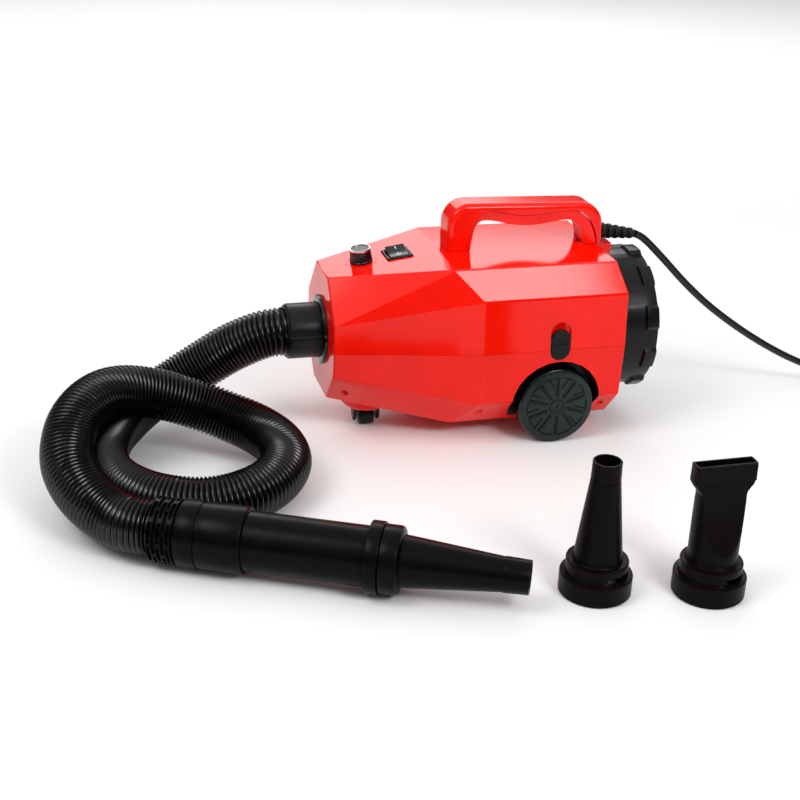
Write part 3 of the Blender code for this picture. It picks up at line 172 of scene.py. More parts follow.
def rounded(profile, edges):
    """Cuts each named corner of a profile back into a small two-step round."""
    made = []
    count = len(profile)
    for i, point in enumerate(profile):
        size = edges.get(i, 0.0)
        if size == 0.0:
            made.append(point)
            continue
        here = Vector(point[:2])
        before = (Vector(profile[(i - 1) % count][:2]) - here).normalized() * size
        after = (Vector(profile[(i + 1) % count][:2]) - here).normalized() * size
        rest = tuple(point[2:])
        middle = here + (before + after) * 0.29
        for spot in (here + before, middle, here + after):
            made.append((spot.x, spot.y) + rest)
    return made


def section(inner, outer, low, high):
    """The four corners of a ring's or a disc's rectangular section."""
    return ((inner, low), (outer, low), (outer, high), (inner, high))


def block(low, high):
    bm = bmesh.new()
    bmesh.ops.create_cube(bm, size=1.0)
    for vert in bm.verts:
        vert.co = Vector((low[i] + high[i]) / 2 + vert.co[i] * (high[i] - low[i]) for i in range(3))
    return bm


def bar(start, end, width, low, high):
    """A bar along a line in the XY plane, from low to high in Z."""
    start = Vector((*start, 0.0))
    end = Vector((*end, 0.0))
    aside = (end - start).normalized().cross(Vector((0, 0, 1))) * width / 2
    corners = [start - aside, end - aside, end + aside, start + aside]
    return lofted([[(c.x, c.y, z) for c in corners] for z in (low, high)], closed=False)


def merged(*meshes):
    """One bmesh of several, each left as its own shell."""
    whole = bmesh.new()
    for bm in meshes:
        mesh = as_mesh("part", bm)
        whole.from_mesh(mesh)
        bpy.data.meshes.remove(mesh)
    return whole


def moved(bm, matrix):
    bmesh.ops.transform(bm, matrix=matrix, verts=bm.verts)
    return bm


def extruded(outline, low_y, high_y):
    return lofted([[(x, y, z) for x, z in outline] for y in (low_y, high_y)], closed=False)


def arc(centre, radius, start, end, steps):
    points = []
    for step in range(steps + 1):
        angle = radians(start + (end - start) * step / steps)
        points.append((centre[0] + radius * cos(angle), centre[1] + radius * sin(angle)))
    return points


def smooth_line(points, parts):
    """A smooth line through the points, with each stretch between them cut into parts."""
    spots = [Vector(point) for point in points]
    line = [spots[0]]
    for i in range(len(spots) - 1):
        before = spots[max(i - 1, 0)]
        start = spots[i]
        end = spots[i + 1]
        after = spots[min(i + 2, len(spots) - 1)]
        for part in range(1, parts + 1):
            t = part / parts
            line.append(
                0.5
                * (
                    2 * start
                    + (end - before) * t
                    + (2 * before - 5 * start + 4 * end - after) * t**2
                    + (3 * start - before - 3 * end + after) * t**3
                )
            )
    return line


def smooth_curve(points, spacing):
    """Points a given distance apart along a smooth curve through the given ones."""
    dense = smooth_line(points, 24)
    total = sum((b - a).length for a, b in zip(dense, dense[1:]))
    count = max(2, round(total / spacing))
    wanted = [total * i / count for i in range(1, count)]
    evenly = [dense[0]]
    walked = 0.0
    for a, b in zip(dense, dense[1:]):
        length = (b - a).length
        while wanted and walked + length >= wanted[0]:
            evenly.append(a.lerp(b, (wanted.pop(0) - walked) / length))
        walked += length
    evenly.append(dense[-1])
    return evenly


def swept(path, radii, sides):
    """A tube along a path with its own radius at each point, free of twist."""
    rings = []
    across = Vector((0, 0, 1))
    for i, point in enumerate(path):
        heading = (path[min(i + 1, len(path) - 1)] - path[max(i - 1, 0)]).normalized()
        across = (across - heading * across.dot(heading)).normalized()
        other = heading.cross(across)
        ring = []
        for side in range(sides):
            angle = 2 * pi * side / sides
            offset = across * cos(angle) + other * sin(angle)
            ring.append(point + offset * radii[i])
        rings.append(ring)
    return lofted(rings, closed=False)


# ---------------------------------------------------------------- places


def along_x(z):
    """Turned pieces on the machine's level middle axis at height z."""
    return MACHINE @ Matrix.Translation((0, 0, z)) @ Matrix.Rotation(pi / 2, 4, "Y")


def on_roof(x, y=0.0):
    """A place on the sloping roof, its Z square to it."""
    z = NOSE_TOP_Z + x * tan(ROOF_SLOPE)
    return MACHINE @ Matrix.Translation((x, y, z)) @ Matrix.Rotation(-ROOF_SLOPE, 4, "Y")


def outward(side, x, z):
    """Turned pieces on a level axis across the machine, facing the near or far side."""
    turn = Matrix.Rotation(-side * pi / 2, 4, "X")
    return MACHINE @ Matrix.Translation((x, 0, z)) @ turn


WAND = (
    MACHINE
    @ Matrix.Translation(WAND_START)
    @ Matrix.Rotation(WAND_HEADING, 4, "Z")
    @ Matrix.Rotation(pi / 2, 4, "Y")
)


# ---------------------------------------------------------------- materials


class Nodes:
    """A material's node tree, with short ways to add and join nodes."""

    def __init__(self, name):
        self.material = bpy.data.materials.new(name)
        self.material.use_nodes = True
        self.tree = self.material.node_tree
        self.shader = self.tree.nodes["Principled BSDF"]
        coordinates = self.tree.nodes.new("ShaderNodeTexCoord")
        self.place = coordinates.outputs["Object"]

    def add(self, kind, **settings):
        node = self.tree.nodes.new(kind)
        for key, value in settings.items():
            setattr(node, key, value)
        return node

    def link(self, source, target):
        self.tree.links.new(source, target)

    def stretched(self, scale):
        mapping = self.add("ShaderNodeMapping")
        mapping.inputs["Scale"].default_value = scale
        self.link(self.place, mapping.inputs["Vector"])
        return mapping.outputs["Vector"]

    def noise(self, scale, detail=3.0, place=None):
        node = self.add("ShaderNodeTexNoise")
        node.inputs["Scale"].default_value = scale
        node.inputs["Detail"].default_value = detail
        self.link(place or self.place, node.inputs["Vector"])
        return node.outputs["Fac"]

    def spread(self, value, low, high, from_low=0.3, from_high=0.7):
        node = self.add("ShaderNodeMapRange")
        node.inputs["From Min"].default_value = from_low
        node.inputs["From Max"].default_value = from_high
        node.inputs["To Min"].default_value = low
        node.inputs["To Max"].default_value = high
        self.link(value, node.inputs["Value"])
        return node.outputs["Result"]

    def two_tones(self, value, first, second):
        node = self.add("ShaderNodeMix", data_type="RGBA")
        node.inputs["A"].default_value = (*first, 1.0)
        node.inputs["B"].default_value = (*second, 1.0)
        self.link(value, node.inputs["Factor"])
        return node.outputs["Result"]

    def bump(self, value, strength, distance):
        node = self.add("ShaderNodeBump")
        node.inputs["Strength"].default_value = strength
        node.inputs["Distance"].default_value = distance
        self.link(value, node.inputs["Height"])
        self.link(node.outputs["Normal"], self.shader.inputs["Normal"])


def moulded(name, colour, roughness, grain=700.0, depth=0.00004, strength=0.25, shift=0.12):
    """Injection-moulded plastic: a fine skin texture and a slow, faint drift in tone."""
    made = Nodes(name)
    drift = made.spread(made.noise(28.0, 2.0), 0.0, 1.0)
    lighter = tuple(min(1.0, channel * (1 + shift)) for channel in colour)
    darker = tuple(channel * (1 - shift) for channel in colour)
    made.link(made.two_tones(drift, darker, lighter), made.shader.inputs["Base Color"])
    wear = made.spread(made.noise(90.0, 4.0), roughness * 0.85, roughness * 1.2)
    made.link(wear, made.shader.inputs["Roughness"])
    made.bump(made.noise(grain, 5.0), strength, depth)
    return made


def brushed(name, colour, roughness, scale=(4.0, 400.0, 400.0)):
    """Metal with fine parallel scratches."""
    made = Nodes(name)
    made.shader.inputs["Metallic"].default_value = 1.0
    scratches = made.noise(6.0, 6.0, made.stretched(scale))
    darker = tuple(channel * 0.82 for channel in colour)
    tone = made.two_tones(made.spread(scratches, 0.0, 1.0), darker, colour)
    made.link(tone, made.shader.inputs["Base Color"])
    wear = made.spread(scratches, roughness * 0.7, roughness * 1.3)
    made.link(wear, made.shader.inputs["Roughness"])
    made.bump(scratches, 0.15, 0.00003)
    return made


def windings(name):
    """Lacquered copper wire wound round and round."""
    made = Nodes(name)
    made.shader.inputs["Metallic"].default_value = 1.0
    made.shader.inputs["Roughness"].default_value = 0.34
    wave = made.add("ShaderNodeTexWave", bands_direction="X")
    wave.inputs["Scale"].default_value = 420.0
    wave.inputs["Distortion"].default_value = 0.6
    made.link(made.place, wave.inputs["Vector"])
    tone = made.two_tones(wave.outputs["Fac"], (0.25, 0.08, 0.03), (0.62, 0.28, 0.13))
    made.link(tone, made.shader.inputs["Base Color"])
    made.bump(wave.outputs["Fac"], 0.6, 0.0002)
    return made


def open_foam(name):
    """Open-cell filter foam: round cells bumped in as pits, with painted shade darkening their
    hearts.
    """
    made = Nodes(name)
    made.shader.inputs["Roughness"].default_value = 0.95
    cells = made.add("ShaderNodeTexVoronoi")
    cells.inputs["Scale"].default_value = 620.0
    made.link(made.place, cells.inputs["Vector"])
    pores_and_shade = made.spread(cells.outputs["Distance"], 0.0, 1.0, 0.1, 0.7)
    # The dark tone at each cell's heart is painted shade in the pit.
    tone = made.two_tones(pores_and_shade, (0.012, 0.012, 0.014), (0.075, 0.075, 0.08))
    made.link(tone, made.shader.inputs["Base Color"])
    made.bump(pores_and_shade, 0.8, 0.0006)
    return made


def circuit(name):
    """Green solder lacquer over copper tracks."""
    made = Nodes(name)
    made.shader.inputs["Roughness"].default_value = 0.32
    tracks = made.add("ShaderNodeTexBrick")
    tracks.inputs["Scale"].default_value = 120.0
    tracks.inputs["Mortar Size"].default_value = 0.06
    made.link(made.place, tracks.inputs["Vector"])
    tracks.inputs["Color1"].default_value = (0.012, 0.13, 0.045, 1.0)
    tracks.inputs["Color2"].default_value = (0.014, 0.15, 0.05, 1.0)
    tracks.inputs["Mortar"].default_value = (0.05, 0.28, 0.10, 1.0)
    made.link(tracks.outputs["Color"], made.shader.inputs["Base Color"])
    made.bump(made.noise(500.0), 0.2, 0.00005)
    return made


RED = moulded("red_gloss", (0.90, 0.0065, 0.0006), 0.11, 900.0, 0.00002, 0.08, 0.05)
BLACK = moulded("black_satin", (0.0028, 0.0028, 0.0030), 0.30)
BLACK_GLOSS = moulded("black_gloss", (0.0025, 0.0025, 0.0028), 0.12, 900.0, 0.00002, 0.12)
KNOB_BLACK = moulded("knob_black", (0.0040, 0.0020, 0.0020), 0.10, 900.0, 0.00002, 0.1)
WAND_BLACK = moulded("wand_black", (0.0012, 0.0012, 0.0013), 0.30, 1100.0, 0.00004, 0.25)
TYRE = moulded("tyre", (0.0030, 0.0036, 0.0034), 0.16, 1400.0, 0.00003, 0.12)
NOZZLE_BLACK = moulded("nozzle_black", (0.0026, 0.0015, 0.0012), 0.38, 1100.0, 0.00005, 0.35)
HOSE_BLACK = moulded("hose_black", (0.0016, 0.0016, 0.0018), 0.20, 600.0, 0.00003, 0.12)
RUBBER = moulded("rubber", (0.0040, 0.0040, 0.0042), 0.42, 1400.0, 0.00005, 0.3)
CORD_SKIN = moulded("cord_skin", (0.0045, 0.0045, 0.0048), 0.34, 900.0, 0.00004, 0.2)
WHEEL = moulded("wheel_plastic", (0.008, 0.018, 0.016), 0.24, 800.0, 0.00004, 0.2)
GREY = moulded("grey_plastic", (0.28, 0.29, 0.30), 0.45)
CARBON = moulded("carbon", (0.02, 0.02, 0.022), 0.6, 1600.0, 0.00008, 0.5)
MARK = moulded("mark_white", (0.62, 0.66, 0.64), 0.5, 1200.0, 0.00002, 0.2)
STEEL = brushed("steel", (0.56, 0.56, 0.57), 0.30)
CHROME = brushed("chrome", (0.70, 0.70, 0.71), 0.09, (60.0, 60.0, 60.0))
CAP_METAL = brushed("cap_metal", (0.085, 0.08, 0.078), 0.34, (8.0, 500.0, 8.0))
COPPER = windings("copper")
FOAM = open_foam("filter_foam")
BOARD = circuit("circuit_board")


DARK_GLOSS = (
    (BLACK, 0.22), (WAND_BLACK, 0.08), (NOZZLE_BLACK, 0.07), (HOSE_BLACK, 0.36), (RUBBER, 0.25),
    (CORD_SKIN, 0.35), (BLACK_GLOSS, 0.4),
)
for dark, level in DARK_GLOSS:
    dark.shader.inputs["Specular IOR Level"].default_value = level
RED.shader.inputs["Specular IOR Level"].default_value = 0.28
WHEEL.shader.inputs["Specular IOR Level"].default_value = 0.28


# ---------------------------------------------------------------- pieces


def dress(obj, made):
    obj.data.materials.clear()
    obj.data.materials.append(made.material)


def piece(name, bm, made, place, body=BODY, stands_for=(), angle=35):
    bmesh.ops.recalc_face_normals(bm, faces=bm.faces)
    mesh = as_mesh(name, bm)
    mesh.shade_smooth()
    mesh.set_sharp_from_angle(angle=radians(angle))
    obj = linked(name, mesh)
    obj.matrix_world = place
    dress(obj, made)
    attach(obj, body)
    if stands_for:
        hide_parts(*stands_for)
    return obj


def bevelled(obj, width, segments=3, angle=30):
    modifier = obj.modifiers.new("edges", "BEVEL")
    modifier.width = width
    modifier.segments = segments
    modifier.limit_method = "ANGLE"
    modifier.angle_limit = radians(angle)
    return obj


def carried(node, made):
    """A CAD node shown as it is: its triangles joined and its sharp edges kept sharp."""
    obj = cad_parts[node]
    obj.data.shade_smooth()
    dress(obj, made)
    weld = obj.modifiers.new("weld", "WELD")
    weld.merge_threshold = 0.000005
    split = obj.modifiers.new("split", "EDGE_SPLIT")
    split.split_angle = radians(32)
    return obj


def in_shaded_wheel_well(point):
    """Whether a point of the shell lies inside a wheel arch, where black is painted for the shade
    there.
    """
    spot = MACHINE.inverted() @ point
    from_axis = hypot(spot.x - ARCH_AT[0], spot.z - ARCH_AT[1])
    return from_axis < ARCH_RADIUS + 0.0002 and abs(spot.y) > 0.0640


def crisp_shell(node, name):
    """A housing shell with flat facets, fine rounds on their edges and smooth round holes."""
    bm = bmesh.new()
    bm.from_mesh(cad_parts[node].data)
    bmesh.ops.remove_doubles(bm, verts=bm.verts, dist=0.000003)
    bmesh.ops.dissolve_limit(bm, angle_limit=radians(0.5), verts=bm.verts, edges=bm.edges)
    facets = {face.index: face.calc_area() > FACET_AREA for face in bm.faces}
    painted_shade_wells = {
        face.index for face in bm.faces if all(in_shaded_wheel_well(vert.co) for vert in face.verts)
    }
    shell = piece(name, bm, RED, Matrix.Identity(4), stands_for=(node,), angle=19)
    bm = bmesh.new()
    bm.from_mesh(shell.data)
    # The second, black material paints the deep shade inside the red wheel arches.
    shell.data.materials.append(BLACK.material)
    for face in bm.faces:
        face.smooth = not facets[face.index]
        face.material_index = 1 if face.index in painted_shade_wells else 0
    for edge in bm.edges:
        if all(facets[face.index] for face in edge.link_faces):
            edge.smooth = False
    bm.to_mesh(shell.data)
    bm.free()
    return shell


def carry_cad_nodes():
    crisp_shell("upper_shell", "upper_shell_moulded")
    crisp_shell("lower_shell", "lower_shell_moulded")
    screws = tuple(
        f"screw_{row}_{side}" for side in ("near", "far") for row in ("front", "middle", "rear")
    )
    fans = ("fan_case", "diffuser_plate", "impeller_first_stage", "impeller_second_stage")
    motor = ("motor_frame", "bearing_front", "bearing_rear")
    groups = (
        (STEEL, "steel", fans + motor + ("rear_axle", "caster_pin") + screws),
        (COPPER, "copper", ("stator", "rotor")),
        (CARBON, "carbon", ("brush_near", "brush_far")),
        (RUBBER, "rubber", ("motor_mount_front", "motor_mount_rear")),
        (FOAM, "filter_foam", ("filter_foam",)),
        (GREY, "grey_plastic", ("filter_seat",)),
        (BOARD, "circuit_board", ("control_board",)),
        (BLACK, "black_plastic", ("outlet_duct",)),
        (CHROME, "chrome", ("speed_potentiometer",)),
    )
    for made, slot_name, nodes in groups:
        for node in nodes:
            carried(node, made)


# ---------------------------------------------------------------- camera, light, floor


def add_camera():
    azimuth = radians(16.29)
    elevation = radians(24.53)
    roll = radians(2.39)
    ahead = Vector(
        (
            sin(azimuth) * cos(elevation),
            cos(azimuth) * cos(elevation),
            -sin(elevation),
        )
    )
    right = ahead.cross(Vector((0, 0, 1))).normalized()
    up = right.cross(ahead)
    right_rolled = right * cos(roll) + up * sin(roll)
    up_rolled = up * cos(roll) - right * sin(roll)
    data = bpy.data.cameras.new("camera")
    data.sensor_width = 36.0
    data.lens = 66.11
    data.clip_end = 50.0
    camera = linked("camera", data)
    turn = Matrix((right_rolled, up_rolled, -ahead)).transposed().to_4x4()
    camera.matrix_world = MACHINE @ Matrix.Translation((-0.3242, -1.4229, 0.6983)) @ turn
    bpy.context.scene.camera = camera


def add_light(name, at, towards, size, power):
    data = bpy.data.lights.new(name, "AREA")
    data.shape = "RECTANGLE"
    data.size, data.size_y = size
    data.energy = power
    light = linked(name, data)
    light.location = at
    light.rotation_euler = (Vector(towards) - Vector(at)).to_track_quat("-Z", "Y").to_euler()


def add_studio():
    floor_finish = Nodes("floor")
    tone = floor_finish.spread(floor_finish.noise(3.0, 2.0), 0.0, 1.0)
    pale = floor_finish.two_tones(tone, (0.86, 0.86, 0.86), (0.88, 0.88, 0.88))
    floor_finish.link(pale, floor_finish.shader.inputs["Base Color"])
    floor_finish.shader.inputs["Roughness"].default_value = 0.9
    floor_finish.shader.inputs["Specular IOR Level"].default_value = 0.0
    bm = bmesh.new()
    bmesh.ops.create_grid(bm, x_segments=1, y_segments=1, size=14.0)
    floor = linked("floor", as_mesh("floor", bm))
    floor.data.materials.append(floor_finish.material)
    floor.location.z = -0.0006

    world = bpy.data.worlds.new("studio")
    world.use_nodes = True
    tree = world.node_tree
    background = tree.nodes["Background"]
    background.inputs["Strength"].default_value = 1.0
    direction = tree.nodes.new("ShaderNodeTexCoord")
    split = tree.nodes.new("ShaderNodeSeparateXYZ")
    ramp = tree.nodes.new("ShaderNodeValToRGB")
    tree.links.new(direction.outputs["Generated"], split.inputs["Vector"])
    tree.links.new(split.outputs["Z"], ramp.inputs["Fac"])
    tree.links.new(ramp.outputs["Color"], background.inputs["Color"])
    stops = ((0.0, 0.10), (0.30, 0.14), (0.55, 0.48), (0.80, 0.95), (1.0, 1.2))
    for i, (height, level) in enumerate(stops):
        stop = ramp.color_ramp.elements[0] if i == 0 else ramp.color_ramp.elements.new(height)
        stop.position = height
        stop.color = (level, level, level, 1.0)
    ramp.color_ramp.elements.remove(ramp.color_ramp.elements[len(stops)])
    bpy.context.scene.world = world
    add_light("key", (-1.34, -0.46, 1.80), (-0.07, 0.10, 0.15), (0.95, 0.95), 16.0)
    add_light("front", (0.85, -2.00, 1.85), (0.13, 0.09, 0.18), (0.95, 0.70), 30.0)
    add_light("back", (0.70, 2.60, 1.55), (0.0, 0.1, 0.15), (2.8, 1.1), 26.0)
    settings = bpy.context.scene.view_settings
    settings.view_transform = "Standard"
    settings.look = "None"


# ---------------------------------------------------------------- cords


def coil_path():
    """The mains lead after it lands: two flat layers of turns, then one turn on top."""
    low, middle, top = 0.0042, 0.0124, 0.0206
    edge = 0.0522
    turns = (
        (-90, 270, 0.0600, edge, low, low),
        (270, 630, edge, 0.0440, low, low),
        (630, 990, 0.0440, 0.0358, low, low),
        (990, 1070, 0.0358, 0.0358, low, middle),
        (1070, 1350, 0.0358, 0.0380, middle, middle),
        (1350, 1710, 0.0380, 0.0462, middle, middle),
        (1710, 1890, 0.0462, edge, middle, middle),
        (1890, 1990, edge, edge, middle, top),
        (1990, 2250, edge, edge, top, top),
        (2250, 2430, edge, edge, top, top),
    )
    points = []
    for start, end, radius_a, radius_b, z_a, z_b in turns:
        steps = max(2, round((end - start) / 12))
        for step in range(steps):
            t = step / steps
            angle = radians(start + (end - start) * t)
            radius = radius_a + (radius_b - radius_a) * t
            z = z_a + (z_b - z_a) * eased(t)
            points.append(COIL_AT + Vector((*polar(radius, angle), z)))
    bend, fall = 0.0450, 0.0104
    tail_centre = COIL_AT + Vector((0, -edge - bend, 0))
    for step in range(19):
        t = step / 18
        angle = radians(90 - 180 * t)
        z = top - fall * eased(t)
        points.append(tail_centre + Vector((*polar(bend, angle), z)))
    points.append(Vector((PLUG_AT.x + 0.0235, tail_centre.y - bend, PLUG_AT.z)))
    return points


def add_cord():
    route = smooth_curve(CORD_ROUTE, 0.006) + [Vector((0.7200, 0.0, 0.0042))] + coil_path()
    curve = bpy.data.curves.new("power_cord_line", "CURVE")
    curve.dimensions = "3D"
    curve.bevel_depth = CORD_DIAMETER / 2
    curve.bevel_resolution = 4
    curve.use_fill_caps = True
    spline = curve.splines.new("POLY")
    spline.points.add(len(route) - 1)
    for target, point in zip(spline.points, route):
        target.co = (*point, 1.0)
    spline.use_smooth = True
    cord = linked("mains_lead", curve)
    cord.matrix_world = MACHINE
    dress(cord, CORD_SKIN)
    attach(cord, BODY)
    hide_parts("power_cord", "cord_coil", "cord_tail")
    plug = add_plug()
    tie = add_tie()


def add_plug():
    """A generic two-blade moulded plug with a ribbed grip and a sleeve for the lead."""
    sections = (
        (-0.0240, 0.0128, 0.0094), (-0.0225, 0.0130, 0.0098), (-0.0080, 0.0130, 0.0098),
        (-0.0060, 0.0118, 0.0088), (0.0080, 0.0112, 0.0084), (0.0100, 0.0105, 0.0078),
        (0.0170, 0.0068, 0.0060), (0.0235, 0.0056, 0.0054),
    )
    rings = []
    for x, half_y, half_z in sections:
        ring = []
        for step in range(32):
            angle = 2 * pi * step / 32
            cos_a = cos(angle)
            sin_a = sin(angle)
            y = half_y * copysign(abs(cos_a) ** 0.45, cos_a)
            z = half_z * copysign(abs(sin_a) ** 0.45, sin_a)
            ring.append((x, y, z))
        rings.append(ring)
    grip = [
        block((x, -0.0121, -0.0091), (x + 0.0012, 0.0121, 0.0091))
        for x in (-0.0045, -0.0015, 0.0015, 0.0045)
    ]
    place = MACHINE @ Matrix.Translation(PLUG_AT)
    plug = piece(
        "plug_body", merged(lofted(rings, False), *grip), RUBBER, place,
        stands_for=("mains_plug",), angle=40,
    )
    blades = [
        block((-0.0420, y - 0.0009, -0.0031), (-0.0230, y + 0.0009, 0.0031))
        for y in (-0.0064, 0.0064)
    ]
    pins = piece("plug_blades", merged(*blades), STEEL, place)
    bevelled(pins, 0.0004, 2)
    pins.parent = plug
    pins.matrix_parent_inverse = plug.matrix_world.inverted()
    pins.matrix_world = place
    return plug


def strap_line(radius):
    """A rounded box round the coil's section, with corners of the given radius."""
    line = []
    corners = ((0.0530, 0.0215), (0.0350, 0.0215), (0.0350, 0.0060), (0.0530, 0.0060))
    for i, centre in enumerate(corners):
        line += arc(centre, radius, 90 * i, 90 * i + 90, 5)
    return line


def add_tie():
    """A hook-and-loop strap round the coil's turns."""
    outer = strap_line(0.0052)
    inner = strap_line(0.0042)
    edges = ((-0.0070, outer), (0.0070, outer), (0.0070, inner), (-0.0070, inner))
    rings = [[(x, y, z) for x, z in line] for y, line in edges]
    place = MACHINE @ Matrix.Translation(COIL_AT) @ Matrix.Rotation(radians(155), 4, "Z")
    return piece("cord_strap", lofted(rings, True), RUBBER, place, angle=40)


def add_hose():
    """Thin corrugated wall: a crest every few millimetres along the whole hose."""
    samples = 4
    path = smooth_curve(HOSE_ROUTE, HOSE_PITCH / samples)
    crest = HOSE_DIAMETER / 2
    heights = (crest - 0.0026, crest - 0.0007, crest, crest - 0.0007)
    radii = [heights[i % samples] for i in range(len(path))]
    for i in (0, 1, -1, -2):
        radii[i] = crest - 0.0026
    hose = piece(
        "hose_corrugated", swept(path, radii, 44), HOSE_BLACK, MACHINE,
        stands_for=("hose",), angle=60,
    )
    return hose, path


# ---------------------------------------------------------------- wand and nozzles


def add_wand():
    bore = 0.0240
    ribs = [(bore, -0.0262), (0.0268, -0.0262)]
    for rib in range(6):
        start = -0.0262 + 0.0043 * rib
        ribs += [
            (0.0270, start + 0.0002), (0.0294, start + 0.0006), (0.0301, start + 0.0011),
            (0.0301, start + 0.0020), (0.0294, start + 0.0025), (0.0270, start + 0.0029),
            (0.0268, start + 0.0042),
        ]
    ribs += [(0.0268, -0.0003), (bore, -0.0003)]
    bridges = []
    for rib in range(5):
        for count in range(8):
            angle = radians(45 * count + 22.5 * rib)
            low = -0.0262 + 0.0043 * rib + 0.0018
            bridge = block((0.0262, -0.0022, low), (0.0298, 0.0022, low + 0.0032))
            bridges.append(moved(bridge, Matrix.Rotation(angle, 4, "Z")))
    sleeve = piece(
        "hose_end_ribbed", merged(turned(ribs, 72), *bridges), WAND_BLACK, WAND,
        stands_for=("hose_end_sleeve",), angle=40,
    )
    collar_profile = rounded(
        (
            (bore, 0.0), (0.0310, 0.0), (0.0310, 0.0180), (0.0299, 0.0182), (0.0299, 0.0198),
            (0.0310, 0.0200), (0.0310, 0.0600), (0.0283, 0.0612), (0.0278, 0.0612),
            (0.0278, 0.0500), (bore, 0.0500),
        ),
        {1: 0.0008, 2: 0.0003, 5: 0.0003, 6: 0.0012},
    )
    collar = piece(
        "wand_collar_turned", turned(collar_profile, 96), WAND_BLACK, WAND,
        stands_for=("wand_collar",),
    )
    piece(
        "wand_tube_turned",
        turned(section(bore, WAND_RADIUS, 0.0503, 0.1690), 96),
        WAND_BLACK, WAND, stands_for=("wand_tube",),
    )
    add_lock_ring()
    add_wand_nozzle(bore)
    return [sleeve, collar]


def add_lock_ring():
    profile = rounded(section(0.0278, 0.0330, 0.1715, 0.1838), {1: 0.0012, 2: 0.0010})
    marks = []
    for turn in (-118, 62):
        angle = radians(turn)
        along = block((0.0322, -0.0009, 0.1740), (0.0334, 0.0009, 0.1815))
        across = block((0.0322, -0.0009, 0.1740), (0.0334, 0.0052, 0.1756))
        marks += [moved(bm, Matrix.Rotation(angle, 4, "Z")) for bm in (along, across)]
    piece(
        "lock_ring_turned", merged(turned(profile, 96), *marks), WAND_BLACK, WAND,
        body="lock_ring", stands_for=("nozzle_lock_ring",),
    )


def add_wand_nozzle(bore):
    profile = rounded(
        (
            (bore - 0.002, 0.1693), (WAND_RADIUS, 0.1693), (WAND_RADIUS, 0.1841),
            (0.0312, 0.1841), (0.0312, 0.2005), (0.0238, 0.2025), (0.0158, 0.2915),
            (0.0163, 0.2922), (0.0155, 0.3150), (0.0133, 0.3150), (0.0138, 0.2920),
            (0.0215, 0.2050), (bore - 0.002, 0.1970),
        ),
        {3: 0.0010, 4: 0.0026, 7: 0.0003, 8: 0.0005, 9: 0.0004},
    )
    piece(
        "wand_nozzle_turned", turned(profile, 96), WAND_BLACK, WAND,
        body="nozzle", stands_for=("wand_nozzle",),
    )


def flattened_ring(width, half_depth, z, steps=96):
    """A circle of the given width, cut flat at half_depth in front and behind."""
    ring = []
    for step in range(steps):
        angle = 2 * pi * step / steps
        x = width / 2 * cos(angle)
        y = width / 2 * sin(angle)
        ring.append((x, max(-half_depth, min(half_depth, y)), z))
    return ring


def foot_rings():
    """The spare nozzles' foot: flange and collar, with small rounds."""
    outer = (
        (0.0322, 0.0), (0.0330, 0.0010), (0.0330, 0.0182), (0.0326, 0.0192), (0.0318, 0.0196),
        (0.0287, 0.0196), (0.0283, 0.0200), (0.0283, 0.0320), (0.0279, 0.0330),
        (0.0270, 0.0333),
    )
    return [flattened_ring(2 * r, r, z) for r, z in outer]


def cut_slots(nozzle, name, place):
    """The bayonet's level slot above the flange, with a short way in from below."""
    for turn in (0, pi):
        along = block((-0.0010, -0.0400, 0.0204), (0.0255, -0.0040, 0.0262))
        entry = block((-0.0040, -0.0400, 0.0204), (0.0022, -0.0200, 0.0222))
        for i, bm in enumerate((along, entry)):
            bmesh.ops.recalc_face_normals(bm, faces=bm.faces)
            cutter = linked(f"{name}_cut_{i}_{round(turn)}", as_mesh(f"{name}_cut", bm))
            cutter.matrix_world = place @ Matrix.Rotation(turn, 4, "Z")
            modifier = nozzle.modifiers.new("slot", "BOOLEAN")
            modifier.operation = "DIFFERENCE"
            modifier.solver = "EXACT"
            modifier.object = cutter
            graph = bpy.context.evaluated_depsgraph_get()
            mesh_after = bpy.data.meshes.new_from_object(nozzle.evaluated_get(graph))
            nozzle.modifiers.remove(modifier)
            nozzle.data = mesh_after
            bpy.data.objects.remove(cutter)
    nozzle.data.shade_smooth()
    nozzle.data.set_sharp_from_angle(angle=radians(9))


